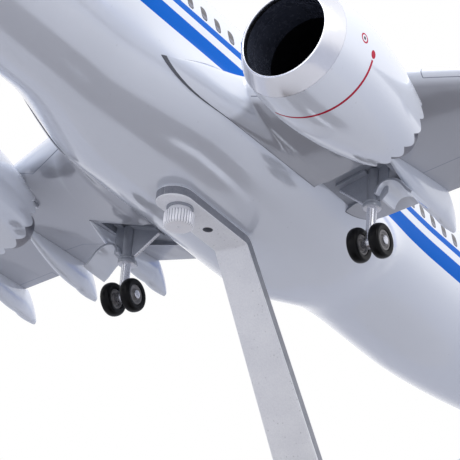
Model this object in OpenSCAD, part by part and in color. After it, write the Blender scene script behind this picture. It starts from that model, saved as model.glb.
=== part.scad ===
/* [Fuselage] */
// Half width of the round fuselage section
fus_half_w = 22.1; // [20:0.1:25]
// Half height of the fuselage section
fus_half_h = 23.6; // [22:0.1:25]
// Tip of the nose, forward of the main gear legs
nose_x = 224; // [208:1:246]
// Narrowing of the cabin behind the wing
waist_slim = 1.2; // [0:0.1:1.6]
// Distance behind the legs where the cabin starts to narrow
waist_from = 25; // [22:1:30]
// Length over which the cabin narrows
waist_len = 35; // [30:1:42]
// Rise of the cabin's axis behind the wing
waist_rise = 0.8; // [0:0.1:1.2]
// Length of the rounded nose
nose_len = 66; // [50:1:75]
// Drop of the nose tip below the axis
nose_drop = 6; // [3:0.5:9]
// Tip of the tail cone, aft of the main gear legs
tail_x = 240; // [226:1:250]
// Length over which the tail cone narrows
tail_len = 155; // [140:1:165]
// Rise of the tail cone tip above the axis
tail_rise = 13; // [8:0.5:16]
// Radius of the blunt end of the tail cone
tail_tip_r = 2.4; // [1.5:0.1:4]

/* [Belly fairing] */
// Half width of the fairing between the wings
belly_half_w = 26.9; // [25.8:0.1:27.4]
// Height of the widest line of the fairing
belly_mid_z = -6; // [-7:0.1:-5]
// Depth at which the rounded fairing would end without its flat
belly_round = 25.9; // [25.7:0.1:26.6]
// Roundness of the fairing's section, 2 for an ellipse
belly_power = 2.3; // [2:0.05:2.8]
// Depth of the flat belly below the axis
belly_depth = 25.6; // [24.6:0.1:27]
// Front end of the fairing
belly_front = 84; // [76:1:100]
// Length over which the fairing swells at the front
belly_front_ramp = 40; // [25:1:44]
// Rear end of the fairing, aft of the legs
belly_rear = 47; // [43:1:60]
// Length over which the fairing fades at the rear
belly_rear_ramp = 24; // [15:1:32]

/* [Wing] */
// Half span at the wing tip
wing_half_span = 199.5; // [170:0.5:230]
// Distance of the wing root seam from the axis
wing_root_y = 24.1; // [23.6:0.1:24.6]
// Leading edge at the root, without the glove
wing_le_root = 47.6; // [44:0.2:52]
// Sweep of the leading edge
wing_le_sweep = 30.5; // [26:0.5:34]
// Station of the glove's pointed front tip
glove_tip_x = 71; // [64:0.5:74]
// Height of the glove's front tip
glove_tip_z = -12.7; // [-13.4:0.1:-12]
// Rise of the root's upper line above the glove tip
root_rise = 8.9; // [8:0.1:9.6]
// Drop of the root's lower line below the glove tip
root_drop = 4.7; // [4:0.1:5.2]
// How tightly the root fillet is drawn in
fillet_power = 2.5; // [1.6:0.1:3]
// Width of the root fillet
fillet_w = 3.9; // [3.4:0.1:5]
// Depth of the root's lower line below the glove tip at its rear end
root_rear_drop = 1.7; // [1.4:0.1:2]
// Trailing edge at the root, aft of the legs
wing_te_root = 20; // [17:0.5:24]
// Where the trailing edge kinks
wing_kink_y = 65; // [60:1:72]
// Sweep of the trailing edge outboard of the kink
wing_te_sweep = 21.3; // [17:0.5:23]
// Height of the leading edge at the root
wing_le_z = -8.6; // [-9.5:0.1:-7]
// Height of the leading edge at the kink
wing_le_kink_z = -2.4; // [-3:0.1:-1.4]
// Height of the trailing edge at the root
wing_te_z = -13.2; // [-14:0.1:-12]
// Height of the trailing edge at the kink
wing_te_kink_z = -6.4; // [-7:0.1:-5]
// Dihedral outboard of the kink
wing_dihedral = 6.2; // [4:0.1:8]
// Upper half thickness at the root
wing_root_up = 6.2; // [5:0.1:7]
// Lower half thickness at the root
wing_root_down = 7.5; // [6.6:0.1:7.8]
// Upper half thickness at the kink
wing_kink_up = 2.8; // [2.2:0.1:3.4]
// Lower half thickness at the kink
wing_kink_down = 2.6; // [2:0.1:3.2]
// Half thickness at the tip
wing_tip_half = 0.95; // [0.7:0.05:1.4]
// Thickness of every trailing edge
te_thick = 0.7; // [0.5:0.05:1]
// Height of the blended winglet
winglet_h = 27; // [20:0.5:34]
// Outward lean of the winglet
winglet_cant = 15; // [5:1:30]
// Tip chord of the winglet
winglet_tip_chord = 7; // [5:0.5:10]
// Sweep of the winglet, as a share of its height
winglet_sweep = 0.75; // [0.6:0.05:0.9]

/* [Flap track fairings] */
// Distances of the fairings from the axis
fairing_y1 = 44.5; // [42.5:0.5:46]
// Distance of the middle fairing from the axis
fairing_y2 = 69; // [67:0.5:73]
// Distance of the outer fairing from the axis
fairing_y3 = 99; // [95:0.5:104]
// Width of a fairing
fairing_w = 5.4; // [4.5:0.1:6.2]
// Length of a fairing
fairing_len = 36; // [32:0.5:40]
// Reach of a fairing aft of the trailing edge
fairing_tail = 8; // [5:0.5:11]
// Droop of a fairing's tail behind the wing
fairing_droop = 0.75; // [0.5:0.05:0.9]
// Depth of a fairing below the wing
fairing_depth = 6.6; // [5.4:0.1:7.4]
// Roundness of a fairing's tail
fairing_round = 0.7; // [0.5:0.05:0.9]

/* [Tail] */
// Leading edge of the fin where it meets the fuselage
fin_le_x = 166; // [160:1:172]
// Height of the fin tip above the axis
fin_top = 100; // [88:1:110]
// Chord of the fin at the fuselage
fin_root_chord = 60; // [54:1:64]
// Chord of the fin at its tip
fin_tip_chord = 21; // [17:0.5:26]
// Sweep of the fin's leading edge
fin_sweep = 36; // [32:0.5:40]
// Half thickness of the fin
fin_half_t = 2.6; // [2:0.1:3.2]
// Reach of the fillet ahead of the fin's foot
fin_fillet = 16; // [10:1:18]
// Leading edge of the tailplane where it meets the fuselage
tailplane_le_x = 187; // [182:1:190]
// Half span of the tailplane
tailplane_half_span = 84; // [70:1:95]
// Chord of the tailplane at the fuselage
tailplane_root_chord = 41; // [37:0.5:44]
// Chord of the tailplane at its tip
tailplane_tip_chord = 17; // [14:0.5:21]
// Sweep of the tailplane's leading edge
tailplane_sweep = 35; // [30:0.5:39]
// Dihedral of the tailplane
tailplane_dihedral = 7; // [4:0.5:9]
// Height of the tailplane at the fuselage
tailplane_z = 10; // [8.5:0.1:11]
// Half thickness of the tailplane at the fuselage
tailplane_half_t = 2.3; // [1.9:0.1:2.7]

/* [Engines] */
// Distance of an engine's axis from the fuselage axis
engine_y = 56.8; // [55.5:0.1:58.5]
// Height of the engine's axis
engine_z = -18.5; // [-19.2:0.1:-18]
// Front of the intake lip
engine_front = 74.4; // [72:0.2:78]
// Largest radius of the nacelle
nacelle_r = 15.1; // [14.4:0.1:15.4]
// Distance of the widest ring from the front
nacelle_mid = 16.5; // [14:0.5:19]
// Length of the nacelle to the tips of its chevrons
nacelle_len = 46; // [44:0.5:50]
// Radius of the nacelle at the chevron tips
nozzle_r = 10.6; // [9.8:0.1:11.2]
// Thickness of the shell at the nozzle
nozzle_wall = 0.8; // [0.6:0.05:1]
// Number of chevrons
chevron_n = 18; // [12:1:22]
// Depth of a chevron
chevron_depth = 2.6; // [1.6:0.1:3.4]
// Radius where the intake lip turns inwards
lip_r = 11.2; // [11:0.1:11.6]
// Radius at which the cowl's curve would start, ahead of the lip's slanted face
cowl_front_r = 12.2; // [11.9:0.1:12.5]
// Length of the polished lip
lip_len = 4.5; // [4:0.5:6]
// Depth of the lip's rounded front
lip_nose = 1.4; // [1.2:0.1:2]
// Radius of the intake throat
throat_r = 10.6; // [10:0.1:10.9]
// Radius of the duct round the fan
duct_r = 10.2; // [9.8:0.1:10.4]
// Distance of the fan from the front
fan_depth = 17; // [16:0.5:19]
// Number of fan blades
blade_n = 18; // [12:1:24]
// Thickness of a fan blade
blade_t = 0.8; // [0.6:0.05:1]
// Length of the fan along its axis
fan_len = 3.2; // [2.4:0.1:4]
// Gap between the blade tips and the duct
fan_gap = 0.4; // [0.3:0.05:0.8]
// Gap between the fan and the wall behind it
fan_rear_gap = 0.6; // [0.4:0.1:1]
// Angle of the fan blades
blade_angle = 32; // [24:1:38]
// Radius of the fan hub
fan_hub_r = 3; // [2.4:0.1:3.6]
// Length of the pointed spinner
spinner_len = 4.6; // [3.5:0.1:6]
// Diameter of the shaft that carries the fan
fan_shaft_d = 1.8; // [1.4:0.1:2.4]
// Thickness of the wall behind the fan
bulkhead_t = 3; // [2:0.2:4]
// Radius of the core nozzle at its open end
core_r = 5.2; // [4.6:0.1:5.8]
// Reach of the core nozzle past the chevron tips
core_reach = 7; // [5:0.5:9]
// Wall of the core nozzle
core_wall = 0.7; // [0.5:0.05:0.9]
// Depth of the core nozzle's open end
core_cup = 8; // [6:0.5:9]
// Radius of the exhaust plug at its base
plug_r = 3.2; // [2.6:0.1:3.6]
// Length of the exhaust plug beyond the core nozzle
plug_reach = 5; // [3:0.5:7]
// Width of a pylon
pylon_w = 3.6; // [2.8:0.1:4.4]
// Front end of the pylon behind the intake lip
pylon_front = 14; // [11:0.5:17]
// Rear end of the pylon under the wing, ahead of the legs
pylon_rear = 15; // [13:0.5:17]

/* [Main gear] */
// Distance of a leg from the axis
leg_y = 37.05; // [36.5:0.05:37.6]
// Height of the wheel axle
axle_z = -31.9; // [-33.5:0.1:-30.5]
// Diameter of the leg's upper cylinder
leg_d = 3; // [2.6:0.1:3.4]
// Diameter of the lower piston
piston_d = 2.5; // [2.1:0.1:2.7]
// Height of the collar's lower face
collar_z = -22.4; // [-23:0.1:-21.6]
// Height of the collar itself
collar_h = 1.8; // [1.4:0.1:2.2]
// Diameter of the collar
collar_d = 4.7; // [4:0.1:5]
// Front edge of the wheel bay
bay_front = 6.8; // [6:0.1:8]
// Rear edge of the wheel bay, aft of the legs
bay_rear = 8; // [7:0.1:9]
// Gap between the brace and the bay's outer wall
bay_gap = 0.45; // [0.35:0.05:0.8]
// Height of the bay roof at the root seam
bay_roof_z = -15.05; // [-15.4:0.05:-14.6]
// Slope of the bay roof, in degrees
bay_slope = 17; // [15:0.5:18.5]
// Thickness of the sheet metal brace and its flange
brace_t = 0.8; // [0.6:0.05:1]
// Distance from the leg's axis to the inner end of the brace
brace_inner = 9.8; // [8.6:0.1:10]
// Distance from the leg's axis to the outer end of the brace
brace_outer = 4.2; // [3.4:0.1:5]
// Drop of the brace's outer edge below the bay roof
brace_tab = 8.6; // [8:0.1:9]
// Width of the flange along the bay roof
flange_w = 4.4; // [3.6:0.1:5]
// Diameter of the rod along the brace's slanted edge
brace_rod_d = 0.9; // [0.7:0.05:1.1]
// Front edge of the gear door
door_front = 2.2; // [1.6:0.1:3]
// Length of the gear door
door_len = 9.4; // [9:0.2:11.4]
// Thickness of the gear door
door_t = 0.8; // [0.6:0.05:1]
// Wall of the boss round a main axle
boss_wall = 0.75; // [0.6:0.05:0.9]

/* [Main wheels] */
// Distance between the two wheels of a leg
wheel_pitch = 6.2; // [6:0.1:7]
// Diameter of a tyre
tyre_d = 9; // [8:0.1:9.4]
// Width of a tyre
tyre_w = 2.9; // [2.4:0.1:3]
// Diameter of a hub
hub_d = 5.3; // [4.4:0.1:5.8]
// Width of a hub
hub_w = 2.3; // [1.9:0.1:2.4]
// Diameter of the wheel axles
axle_d = 1.5; // [1.1:0.05:1.7]
// Radial clearance of a turning wheel on its axle
axle_fit = 0.05; // [0.02:0.01:0.09]
// Diameter of the heads that keep the wheels on
axle_head_d = 2.3; // [2:0.1:2.8]
// Thickness of the axle heads
axle_head_t = 0.4; // [0.3:0.05:0.6]
// Side clearance of a wheel
side_gap = 0.12; // [0.08:0.01:0.2]

/* [Nose gear] */
// Station of the nose leg
nose_leg_x = 176; // [170:0.5:180]
// Height of the nose wheel axle
nose_axle_z = -33.4; // [-34.5:0.1:-32.5]
// Diameter of the nose leg
nose_leg_d = 2.4; // [2:0.1:2.8]
// Diameter of the nose piston
nose_piston_d = 1.8; // [1.5:0.1:1.9]
// Height of the nose piston above its axle
nose_piston_h = 5; // [4.6:0.1:5.4]
// Distance between the nose wheels
nose_pitch = 4.6; // [4.4:0.1:5.4]
// Diameter of a nose tyre
nose_tyre_d = 6.8; // [6:0.1:7.2]
// Width of a nose tyre
nose_tyre_w = 2.1; // [1.8:0.1:2.2]
// Diameter of a nose hub
nose_hub_d = 3.8; // [3.4:0.1:4.2]
// Length of a nose gear door
nose_door_len = 15; // [12:0.5:17]
// Drop of a nose gear door
nose_door_h = 6; // [5:0.1:7]
// Distance between the nose gear doors
nose_door_gap = 7.6; // [7.2:0.1:8.4]
// Thickness of a nose gear door
nose_door_t = 0.7; // [0.6:0.05:0.8]

/* [Stand] */
// Nose-up pitch of the aircraft on the stand
pitch = 8.4; // [5:0.1:11]
// Width of the stand bar at its belly plate
bar_w = 9.6; // [8.4:0.1:11]
// Width of the stand bar at its heel and along its foot
foot_w = 17.8; // [12:0.2:20]
// Thickness of the stand bar
bar_t = 2.8; // [2.4:0.1:3.2]
// Angle of the arm below the belly plate
arm_angle = 49.7; // [44:0.1:56]
// Length of the arm between its bends
arm_len = 150; // [110:1:180]
// Station of the upper bend
plate_bend_x = 5.8; // [5:0.1:7]
// Station of the belly plate's front end
plate_front = 36.6; // [35:0.1:40]
// Station of the thumb screw
screw_x = 29.5; // [29:0.1:30]
// Station of the spare hole in the belly plate
spare_hole_x = 17; // [15:0.1:19]
// Diameter of the spare hole
spare_hole_d = 2.6; // [2:0.1:3.2]
// Length of the foot on the board
foot_len = 60; // [50:1:80]
// Diameter of the holes for the board screws
foot_hole_d = 4.2; // [3.6:0.1:4.6]
// Length of the base board
board_l = 176; // [168:1:200]
// Width of the base board
board_w = 110; // [90:1:130]
// Thickness of the base board
board_t = 12; // [9:0.5:18]
// Corner radius of the base board
board_corner = 14; // [8:1:20]
// Chamfer round the top of the board
board_chamfer = 2; // [1:0.2:3]
// Thickness of the felt under the board
felt_t = 1; // [0.6:0.1:1.6]
// Margin of the felt inside the board's edge
felt_margin = 4; // [2:0.5:8]
// Distance of the foot's heel from the board's rear edge
heel_margin = 12; // [9:0.5:14]

/* [Screws] */
// Diameter of the thumb screw's shank
screw_d = 2.9; // [2.6:0.1:3.2]
// Radial clearance of the shank in its insert
screw_fit = 0.05; // [0.02:0.01:0.09]
// Diameter of the plate's clearance hole
screw_hole_d = 3.6; // [3.5:0.1:4]
// Diameter of the knurled head
knurl_d = 7.7; // [7:0.1:8.6]
// Height of the knurled head
knurl_h = 4.1; // [3.4:0.1:5]
// Number of ridges round the head
knurl_n = 30; // [20:1:40]
// Depth of the knurling
knurl_depth = 0.22; // [0.12:0.02:0.4]
// Chamfer at both ends of the head
knurl_chamfer = 0.5; // [0.4:0.05:0.7]
// Diameter of the neck above the head
neck_d = 5.8; // [5:0.1:6.4]
// Height of the neck
neck_h = 0.9; // [0.6:0.1:1.4]
// Diameter of the washer
washer_d = 6.8; // [6:0.1:7.4]
// Thickness of the washer
washer_t = 0.5; // [0.4:0.05:0.8]
// Reach of the shank into the insert
screw_grip = 7.2; // [6.8:0.1:8]
// Diameter of the brass insert
insert_d = 5; // [4.6:0.1:5.6]
// Length of the brass insert
insert_len = 10; // [9:0.5:11]
// Diameter of the board screws
board_screw_d = 3.6; // [3:0.1:4]
// Head diameter of the board screws
board_screw_head_d = 7.2; // [6.4:0.1:8]
// Head height of the board screws
board_screw_head_h = 2.2; // [1.6:0.1:3]
// Grip of the board screws in the board
board_screw_grip = 8; // [6:0.5:8.5]
// Distance of the two board screws from the heel
board_screw_1 = 20; // [16:1:24]
// Distance of the front board screw from the heel
board_screw_2 = 48; // [42:1:49]

/* [Hidden] */
$fn = 48;

// Colours as the photograph shows them
lacquer = [0.93, 0.93, 0.95];
steel = [0.72, 0.73, 0.75];
chrome = [0.82, 0.83, 0.86];
felt_black = [0.1, 0.1, 0.11];
dark_steel = [0.45, 0.47, 0.5];
black_rubber = [0.04, 0.04, 0.05];
brass = [0.78, 0.62, 0.3];
board_wood = [0.16, 0.1, 0.07];

// Mesh steps: round the fuselage, along a wing section, and down a wing root
ring_n = 40;
foil_n = 28;
cap_n = 3;
cap_squeeze = 0.75;
fillet_n = 5;
eps = 0.01;

// Gap between pieces that are glued together, and how far a cutter reaches past a face
glue = 0.02;
over = 1;

// Width of the glue line round the wing roots, and gap of a flat piece below a curved skin
seam_gap = 0.16;
skin_gap = 0.16;

// A smooth step from 0 to 1
function smooth(t) = let (c = min(1, max(0, t))) c * c * (3 - 2 * c);
function mix(a, b, t) = a + (b - a) * t;

// Round body: share of the full width and height at a station, and the centre's height
nose_from = nose_x - nose_len;
tail_from = tail_len - tail_x;
function nose_share(x) = pow(max(0, 1 - pow(max(0, (x - nose_from) / nose_len), 2.1)), 0.56);
function tail_t(x) = min(1, max(0, (tail_from - x) / tail_len));
function waist(x) = smooth((-waist_from - x) / waist_len);
function full_size(half, x) = half * nose_share(x) - waist_slim * waist(x);
function body_w(x) = mix(full_size(fus_half_w, x), tail_tip_r, pow(tail_t(x), 1.7));
function body_h(x) = mix(full_size(fus_half_h, x), tail_tip_r, pow(tail_t(x), 1.6));
function body_z(x) = waist_rise * waist(x) + (tail_rise - waist_rise) * pow(tail_t(x), 1.4)
    - nose_drop * pow(max(0, (x - nose_from) / nose_len), 2);

// Belly fairing: its share at a station, and its radius about the axis found by repetition
function belly_share(x) = smooth((belly_front - x) / belly_front_ramp)
    * smooth((x + belly_rear) / belly_rear_ramp);
function below(a) = asin(-sin(a));
function belly_over(r, a) = pow(abs(r * cos(a)) / belly_half_w, belly_power)
    + pow(max(0, belly_mid_z - r * sin(a)) / (belly_round + belly_mid_z), belly_power);
function belly_scan(a, lo, hi, k) = k == 0 ? lo
    : let (m = (lo + hi) / 2)
      belly_over(m, a) < 1 ? belly_scan(a, m, hi, k - 1) : belly_scan(a, lo, m, k - 1);
function belly_r(a) = sin(a) >= 0 ? 0
    : min(belly_scan(a, belly_round / 2, belly_round * 1.5, 16), belly_depth / max(eps, -sin(a)));

// Angles below the horizontal where the fairing starts to swell, and over which it does
swell_from = 8;
swell_over = 22;

// Radius of the fuselage skin at station x, at angle a from port towards the top
function skin_r(x, a) =
    let (r = 1 / sqrt(pow(cos(a) / body_w(x), 2) + pow(sin(a) / body_h(x), 2)))
    r + max(0, belly_r(a) - r) * smooth((below(a) - swell_from) / swell_over) * belly_share(x);

// Half width of the skin at station x and height z, found by repetition
function skin_step(x, up, y) = sqrt(max(eps, pow(skin_r(x, atan2(up, y)), 2) - pow(up, 2)));
function skin_y(x, z, y = fus_half_w, k = 8) = k == 0 ? y
    : skin_y(x, z, skin_step(x, z - body_z(x), y), k - 1);

function reversed(v) = [for (i = [len(v) - 1:-1:0]) v[i]];

// Closed solid through a list of rings of equal length, capped by ladders; the points of a ring
// run counter-clockwise about the direction from the first ring to the last
module loft(rings) {
    n = len(rings[0]);
    m = len(rings);
    half = n / 2;
    last = (m - 1) * n;
    sides = [for (j = [0:m - 2], i = [0:n - 1])
        let (a = j * n + i, b = j * n + (i + 1) % n)
        each [[a, b, b + n], [a, b + n, a + n]]];
    front = [for (i = [0:half - 1])
        each i == 0 ? [[0, n - 1, 1]]
            : i == half - 1 ? [[half - 1, half + 1, half]]
            : [[i, n - i, n - i - 1], [i, n - i - 1, i + 1]]];
    back = [for (f = front) [f[0] + last, f[2] + last, f[1] + last]];
    polyhedron([for (r = rings) each r], concat(sides, front, back));
}

// Half thickness of a wing section, from 0 at the nose to a peak of 1
function foil(u) = 10 * (0.2969 * sqrt(u) - 0.126 * u - 0.3516 * u * u
    + 0.2843 * pow(u, 3) - 0.1036 * pow(u, 4));

// Chord position of point i on either side of a section, 0 at the leading edge
foil_half = foil_n / 2;
function foil_u(i) = (1 - cos(180 * min(i, foil_n - i) / (foil_half - 1))) / 2;

// One section as [x, z] pairs: nose, upper side, blunt trailing edge, lower side
function section(xl, zl, xt, zt, up, down) = [for (i = [0:foil_n - 1])
    i == foil_half ? [xt - te_thick / 4, zt]
    : let (u = min(1, foil_u(i)), side = i == 0 ? 0 : i < foil_half ? 1 : -1,
        h = side > 0 ? up : down, edge = te_thick / 2 * u)
      [mix(xl, xt, u), mix(zl, zt, u) + side * (h * foil(u) + edge)]];

// Wing outline and heights
function kink_t(y) = (y - wing_root_y) / (wing_kink_y - wing_root_y);
function tip_t(y) = (y - wing_kink_y) / (wing_half_span - wing_kink_y);
function wing_le(y) = wing_le_root - tan(wing_le_sweep) * (y - wing_root_y);
function wing_te(y) = -wing_te_root - tan(wing_te_sweep) * max(0, y - wing_kink_y);
function wing_zl(y) = y < wing_kink_y ? mix(wing_le_z, wing_le_kink_z, kink_t(y))
    : wing_le_kink_z + tan(wing_dihedral) * (y - wing_kink_y);
function wing_zt(y) = y < wing_kink_y ? mix(wing_te_z, wing_te_kink_z, kink_t(y))
    : mix(wing_te_kink_z, wing_zl(wing_half_span), tip_t(y));
function wing_thick(y, root, kink) = y < wing_kink_y ? mix(kink, root, pow(1 - kink_t(y), 1.6))
    : mix(kink, wing_tip_half, tip_t(y));
function wing_up(y) = wing_thick(y, wing_root_up, wing_kink_up);
function wing_down(y) = wing_thick(y, wing_root_down, wing_kink_down);
function wing_section(y) =
    section(wing_le(y), wing_zl(y), wing_te(y), wing_zt(y), wing_up(y), wing_down(y));
function wing_low(x, y) =
    let (u = min(1, max(0, (wing_le(y) - x) / (wing_le(y) - wing_te(y)))))
    mix(wing_zl(y), wing_zt(y), u) - wing_down(y) * foil(u) - te_thick / 2 * u;

// Root seam, as its upper and lower heights from the glove tip back to the trailing edge. Its shares
// of the chord: the crown's start and end, the start of the level floor and of the rise at the rear
crown_start = 0.36;
crown_end = 0.45;
floor_start = 0.28;
rear_start = 0.86;
floor_rise = 1.7;
function seam_up(u) = glove_tip_z + root_rise * pow(sin(90 * min(1, u / crown_start)), 1.4)
    - root_rise * pow(max(0, (u - crown_end) / (1 - crown_end)), 1.7);
function seam_low(u) = glove_tip_z - root_drop * (1 - pow(1 - min(1, u / floor_start), 2.6))
    + floor_rise * max(0, u - floor_start)
    + (root_drop - root_rear_drop) * pow(max(0, (u - rear_start) / (1 - rear_start)), 2);
function root_section() = [for (i = [0:foil_n - 1])
    let (u = i == foil_half ? 1 : foil_u(i), a = seam_up(u), b = min(a - te_thick * u, seam_low(u)))
    [mix(glove_tip_x, -wing_te_root, u) - (i == foil_half ? te_thick / 4 : 0),
     i == 0 ? glove_tip_z : i == foil_half ? (a + b) / 2 : i < foil_half ? a : b]];

// A ring squeezed towards its mid line by t, a glue line's width off the fuselage skin
function squeezed(s, t) = [for (i = [0:foil_n - 1])
    let (o = s[(foil_n - i) % foil_n], z = mix(s[i][1], (s[i][1] + o[1]) / 2, t))
    [s[i][0], skin_y(s[i][0], z) + seam_gap, z]];

// A ring of the root fillet, between the seam and the first full wing section, outside the skin
function filleted(seam, next, w) = [for (i = [0:foil_n - 1])
    let (f = 1 - pow(1 - w, fillet_power),
        x = mix(seam[i][0], next[i][0], f),
        z = mix(seam[i][2], next[i][2], f))
    [x, mix(skin_y(x, z) + seam_gap, next[i][1], w), z]];

// Where the wing has sections: closer together towards the root
wing_rows = concat(
    [for (t = [0, 0.11, 0.27, 0.49, 0.76]) mix(wing_root_y + fillet_w, wing_kink_y, t)],
    [for (t = [0, 0.15, 0.34, 0.56, 0.78, 1]) mix(wing_kink_y, wing_half_span, t)]);

module wing_panel() {
    root = root_section();
    seam = squeezed(root, 0);
    rows = [for (y = wing_rows) [for (p = wing_section(y)) [p[0], y, p[1]]]];
    loft(reversed(concat(
        [for (k = [cap_n:-1:1]) squeezed(root, cap_squeeze * k / cap_n)],
        [seam],
        [for (k = [1:fillet_n - 1]) filleted(seam, rows[0], k / fillet_n)],
        rows)));
}

// The wheel bay, from inboard of the root seam to just outboard of the brace, and from its roof to
// well below the wing
module wing_bay() {
    drop = 12;
    inner = wing_root_y - 3;
    outer = leg_y + brace_outer + bay_gap;
    translate([-bay_rear, 0, 0])
        rotate([90, 0, 90])
            linear_extrude(bay_front + bay_rear)
                polygon([[inner, bay_roof(inner)], [outer, bay_roof(outer)],
                    [outer, bay_roof(outer) - drop], [inner, bay_roof(inner) - drop]]);
}

function bay_roof(y) = bay_roof_z + tan(bay_slope) * (y - wing_root_y);

module wing_part() {
    color(lacquer)
        difference() {
            wing_panel();
            wing_bay();
        }
}

// Blended winglet, rising from the wing tip's own section. Its shares of the height: the way out
// along the bend, the way out above it, and the thinning towards the tip
winglet_bend_out = 0.27;
winglet_lean_out = 0.22;
winglet_thinning = 0.35;
module winglet_part() {
    tip = wing_section(wing_half_span);
    xl = wing_le(wing_half_span);
    xt = wing_te(wing_half_span);
    zl = wing_zl(wing_half_span);
    chord = xl - xt;
    steps = 6;
    color(lacquer)
        loft([for (k = [steps:-1:0])
            let (t = k / steps, bend = (90 - winglet_cant) * smooth(t * 1.6),
                c = mix(chord, winglet_tip_chord, t),
                out = winglet_bend_out * (1 - cos(90 * t)) + winglet_lean_out * t,
                yy = wing_half_span + eps + winglet_h * out,
                zz = zl + winglet_h * pow(t, 1.5),
                back = winglet_h * winglet_sweep * pow(t, 1.2))
            [for (p = tip)
                let (f = (xl - p[0]) / chord, h = (p[1] - zl) * (1 - winglet_thinning * t))
                [xl - back - f * c, yy - h * sin(bend), zz + h * cos(bend)]]]);
}

// A flap track fairing hangs from the wing like the hull of a boat and droops behind it
fairing_steps = 12;
fairing_sides = 16;
fairing_skin = 0.2;
module flap_fairing(y) {
    te = wing_te(y);
    tail = te - fairing_tail;
    nose = tail + fairing_len;
    deepest = (nose - te) / fairing_len;
    loft([for (k = [fairing_steps:-1:0])
        let (t = pow(k / fairing_steps, 0.85),
            x = mix(nose, tail, t),
            past = max(0, (t - deepest) / (1 - deepest)),
            top = x > te ? wing_low(x, y) : wing_low(te, y) - fairing_droop * (te - x),
            swell = fairing_depth * sin(90 * min(1, t / deepest)),
            depth = mix(swell, fairing_round, pow(past, 1.2)) + fairing_skin,
            ahead = pow(sin(90 * min(1, 0.03 + t / deepest)), 0.8),
            half_w = fairing_w / 2 * ahead * (1 - 0.75 * pow(past, 2)))
        [for (i = [0:fairing_sides - 1])
            let (a = 360 * i / fairing_sides + 90, yy = y + half_w * cos(a))
            [x, yy, sin(a) > 0 && x > te ? wing_low(x, yy) - skin_gap
                : top - skin_gap + (sin(a) > 0 ? fairing_round * past : depth) * sin(a)]]]);
}

module flap_fairings() {
    color(lacquer)
        for (y = [fairing_y1, fairing_y2, fairing_y3])
            flap_fairing(y);
}

// Fuselage casting with the belly fairing, and the bore for its threaded insert
module fuselage() {
    step = (nose_from - tail_from) / 27;
    nose_steps = [0.06, 0.16, 0.28, 0.4, 0.52, 0.64, 0.75, 0.84, 0.91, 0.96, 0.99, 0.9985];
    mid = [for (x = [tail_from:step:nose_from]) x];
    stations = concat([for (t = [1:-0.06:0.03]) tail_from - tail_len * t], mid,
        [for (t = nose_steps) nose_from + nose_len * t]);
    color(lacquer)
        difference() {
            loft([for (x = stations) [for (i = [0:ring_n - 1])
                let (a = 90 + 360 * i / ring_n, r = skin_r(x, a))
                [x, r * cos(a), body_z(x) + r * sin(a)]]]);
            translate([screw_x, 0, -belly_depth - over])
                cylinder(d = insert_d, h = insert_len + over);
        }
}

module belly_insert() {
    color(brass)
        translate([screw_x, 0, -belly_depth])
            difference() {
                cylinder(d = insert_d, h = insert_len);
                translate([0, 0, -over])
                    cylinder(d = screw_d + 2 * screw_fit, h = insert_len + 2 * over);
            }
}

// Fin standing on the fuselage crown, thinner towards its tip
module fin() {
    function skin_top(x, y) = body_z(x) + body_h(x) * sqrt(max(0, 1 - pow(y / body_w(x), 2)));
    root_z = skin_top(-fin_le_x, 0);
    rows = [0, 0.12, 0.3, 0.5, 0.7, 0.85, 0.95, 1];
    foot = 0.5;
    color(lacquer)
        loft([for (t = reversed(rows))
            let (z = mix(root_z, fin_top, t), c = mix(fin_root_chord, fin_tip_chord, t),
                back = tan(fin_sweep) * (z - root_z),
                xl = -fin_le_x - back + fin_fillet * pow(1 - t, 8),
                xt = -fin_le_x - back - c,
                h = fin_half_t * mix(1, 0.45, t))
            [for (i = [0:foil_n - 1])
                let (u = i == foil_half ? 1 : foil_u(i),
                    side = i == 0 || i == foil_half ? 0 : i < foil_half ? -1 : 1,
                    x = mix(xl, xt, u) - (i == foil_half ? te_thick / 4 : 0),
                    y = side * (h * foil(u) + te_thick / 2 * u))
                [x, y, t == 0 ? skin_top(x, 0) + glue : max(z, skin_top(x, 0) + foot)]]]);
}

// Tailplane, from its root on the fuselage skin to the tip
module tailplane_part() {
    y0 = skin_y(-tailplane_le_x, tailplane_z);
    foot = 2;
    rows = concat([y0 + foot], [for (t = [0.26, 0.54, 0.8, 0.97, 1]) mix(y0, tailplane_half_span, t)]);
    function plane_section(y) =
        let (out = max(0, y - y0),
            t = out / (tailplane_half_span - y0),
            zc = tailplane_z + tan(tailplane_dihedral) * out,
            xl = -tailplane_le_x - tan(tailplane_sweep) * out,
            c = mix(tailplane_root_chord, tailplane_tip_chord, t),
            h = tailplane_half_t * mix(1, 0.42, t))
        section(xl, zc, xl - c, zc, h, h);
    root = plane_section(y0);
    color(lacquer)
        loft(reversed(concat(
            [for (k = [cap_n:-1:0]) [for (i = [0:foil_n - 1])
                let (p = root[i], z = mix(p[1], tailplane_z, cap_squeeze * k / cap_n))
                [p[0], skin_y(p[0], z), z]]],
            [for (y = rows) [for (p = plane_section(y)) [p[0], y, p[1]]]])));
}

// Nacelle outline: radius at a distance behind the front of the lip, and how full its front is
cowl_power = 0.6;
function cowl_r(s) = s < nacelle_mid
    ? mix(cowl_front_r, nacelle_r, pow(sin(90 * s / nacelle_mid), cowl_power))
    : mix(nacelle_r, nozzle_r, pow((s - nacelle_mid) / (nacelle_len - nacelle_mid), 1.75));

// Turns a profile of [distance behind the front, radius] about the engine's axis
module spin_engine() {
    translate([engine_front, engine_y, engine_z])
        rotate([0, -90, 0])
            rotate_extrude($fn = 64)
                rotate(90)
                    mirror([0, 1])
                        children();
}

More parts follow.
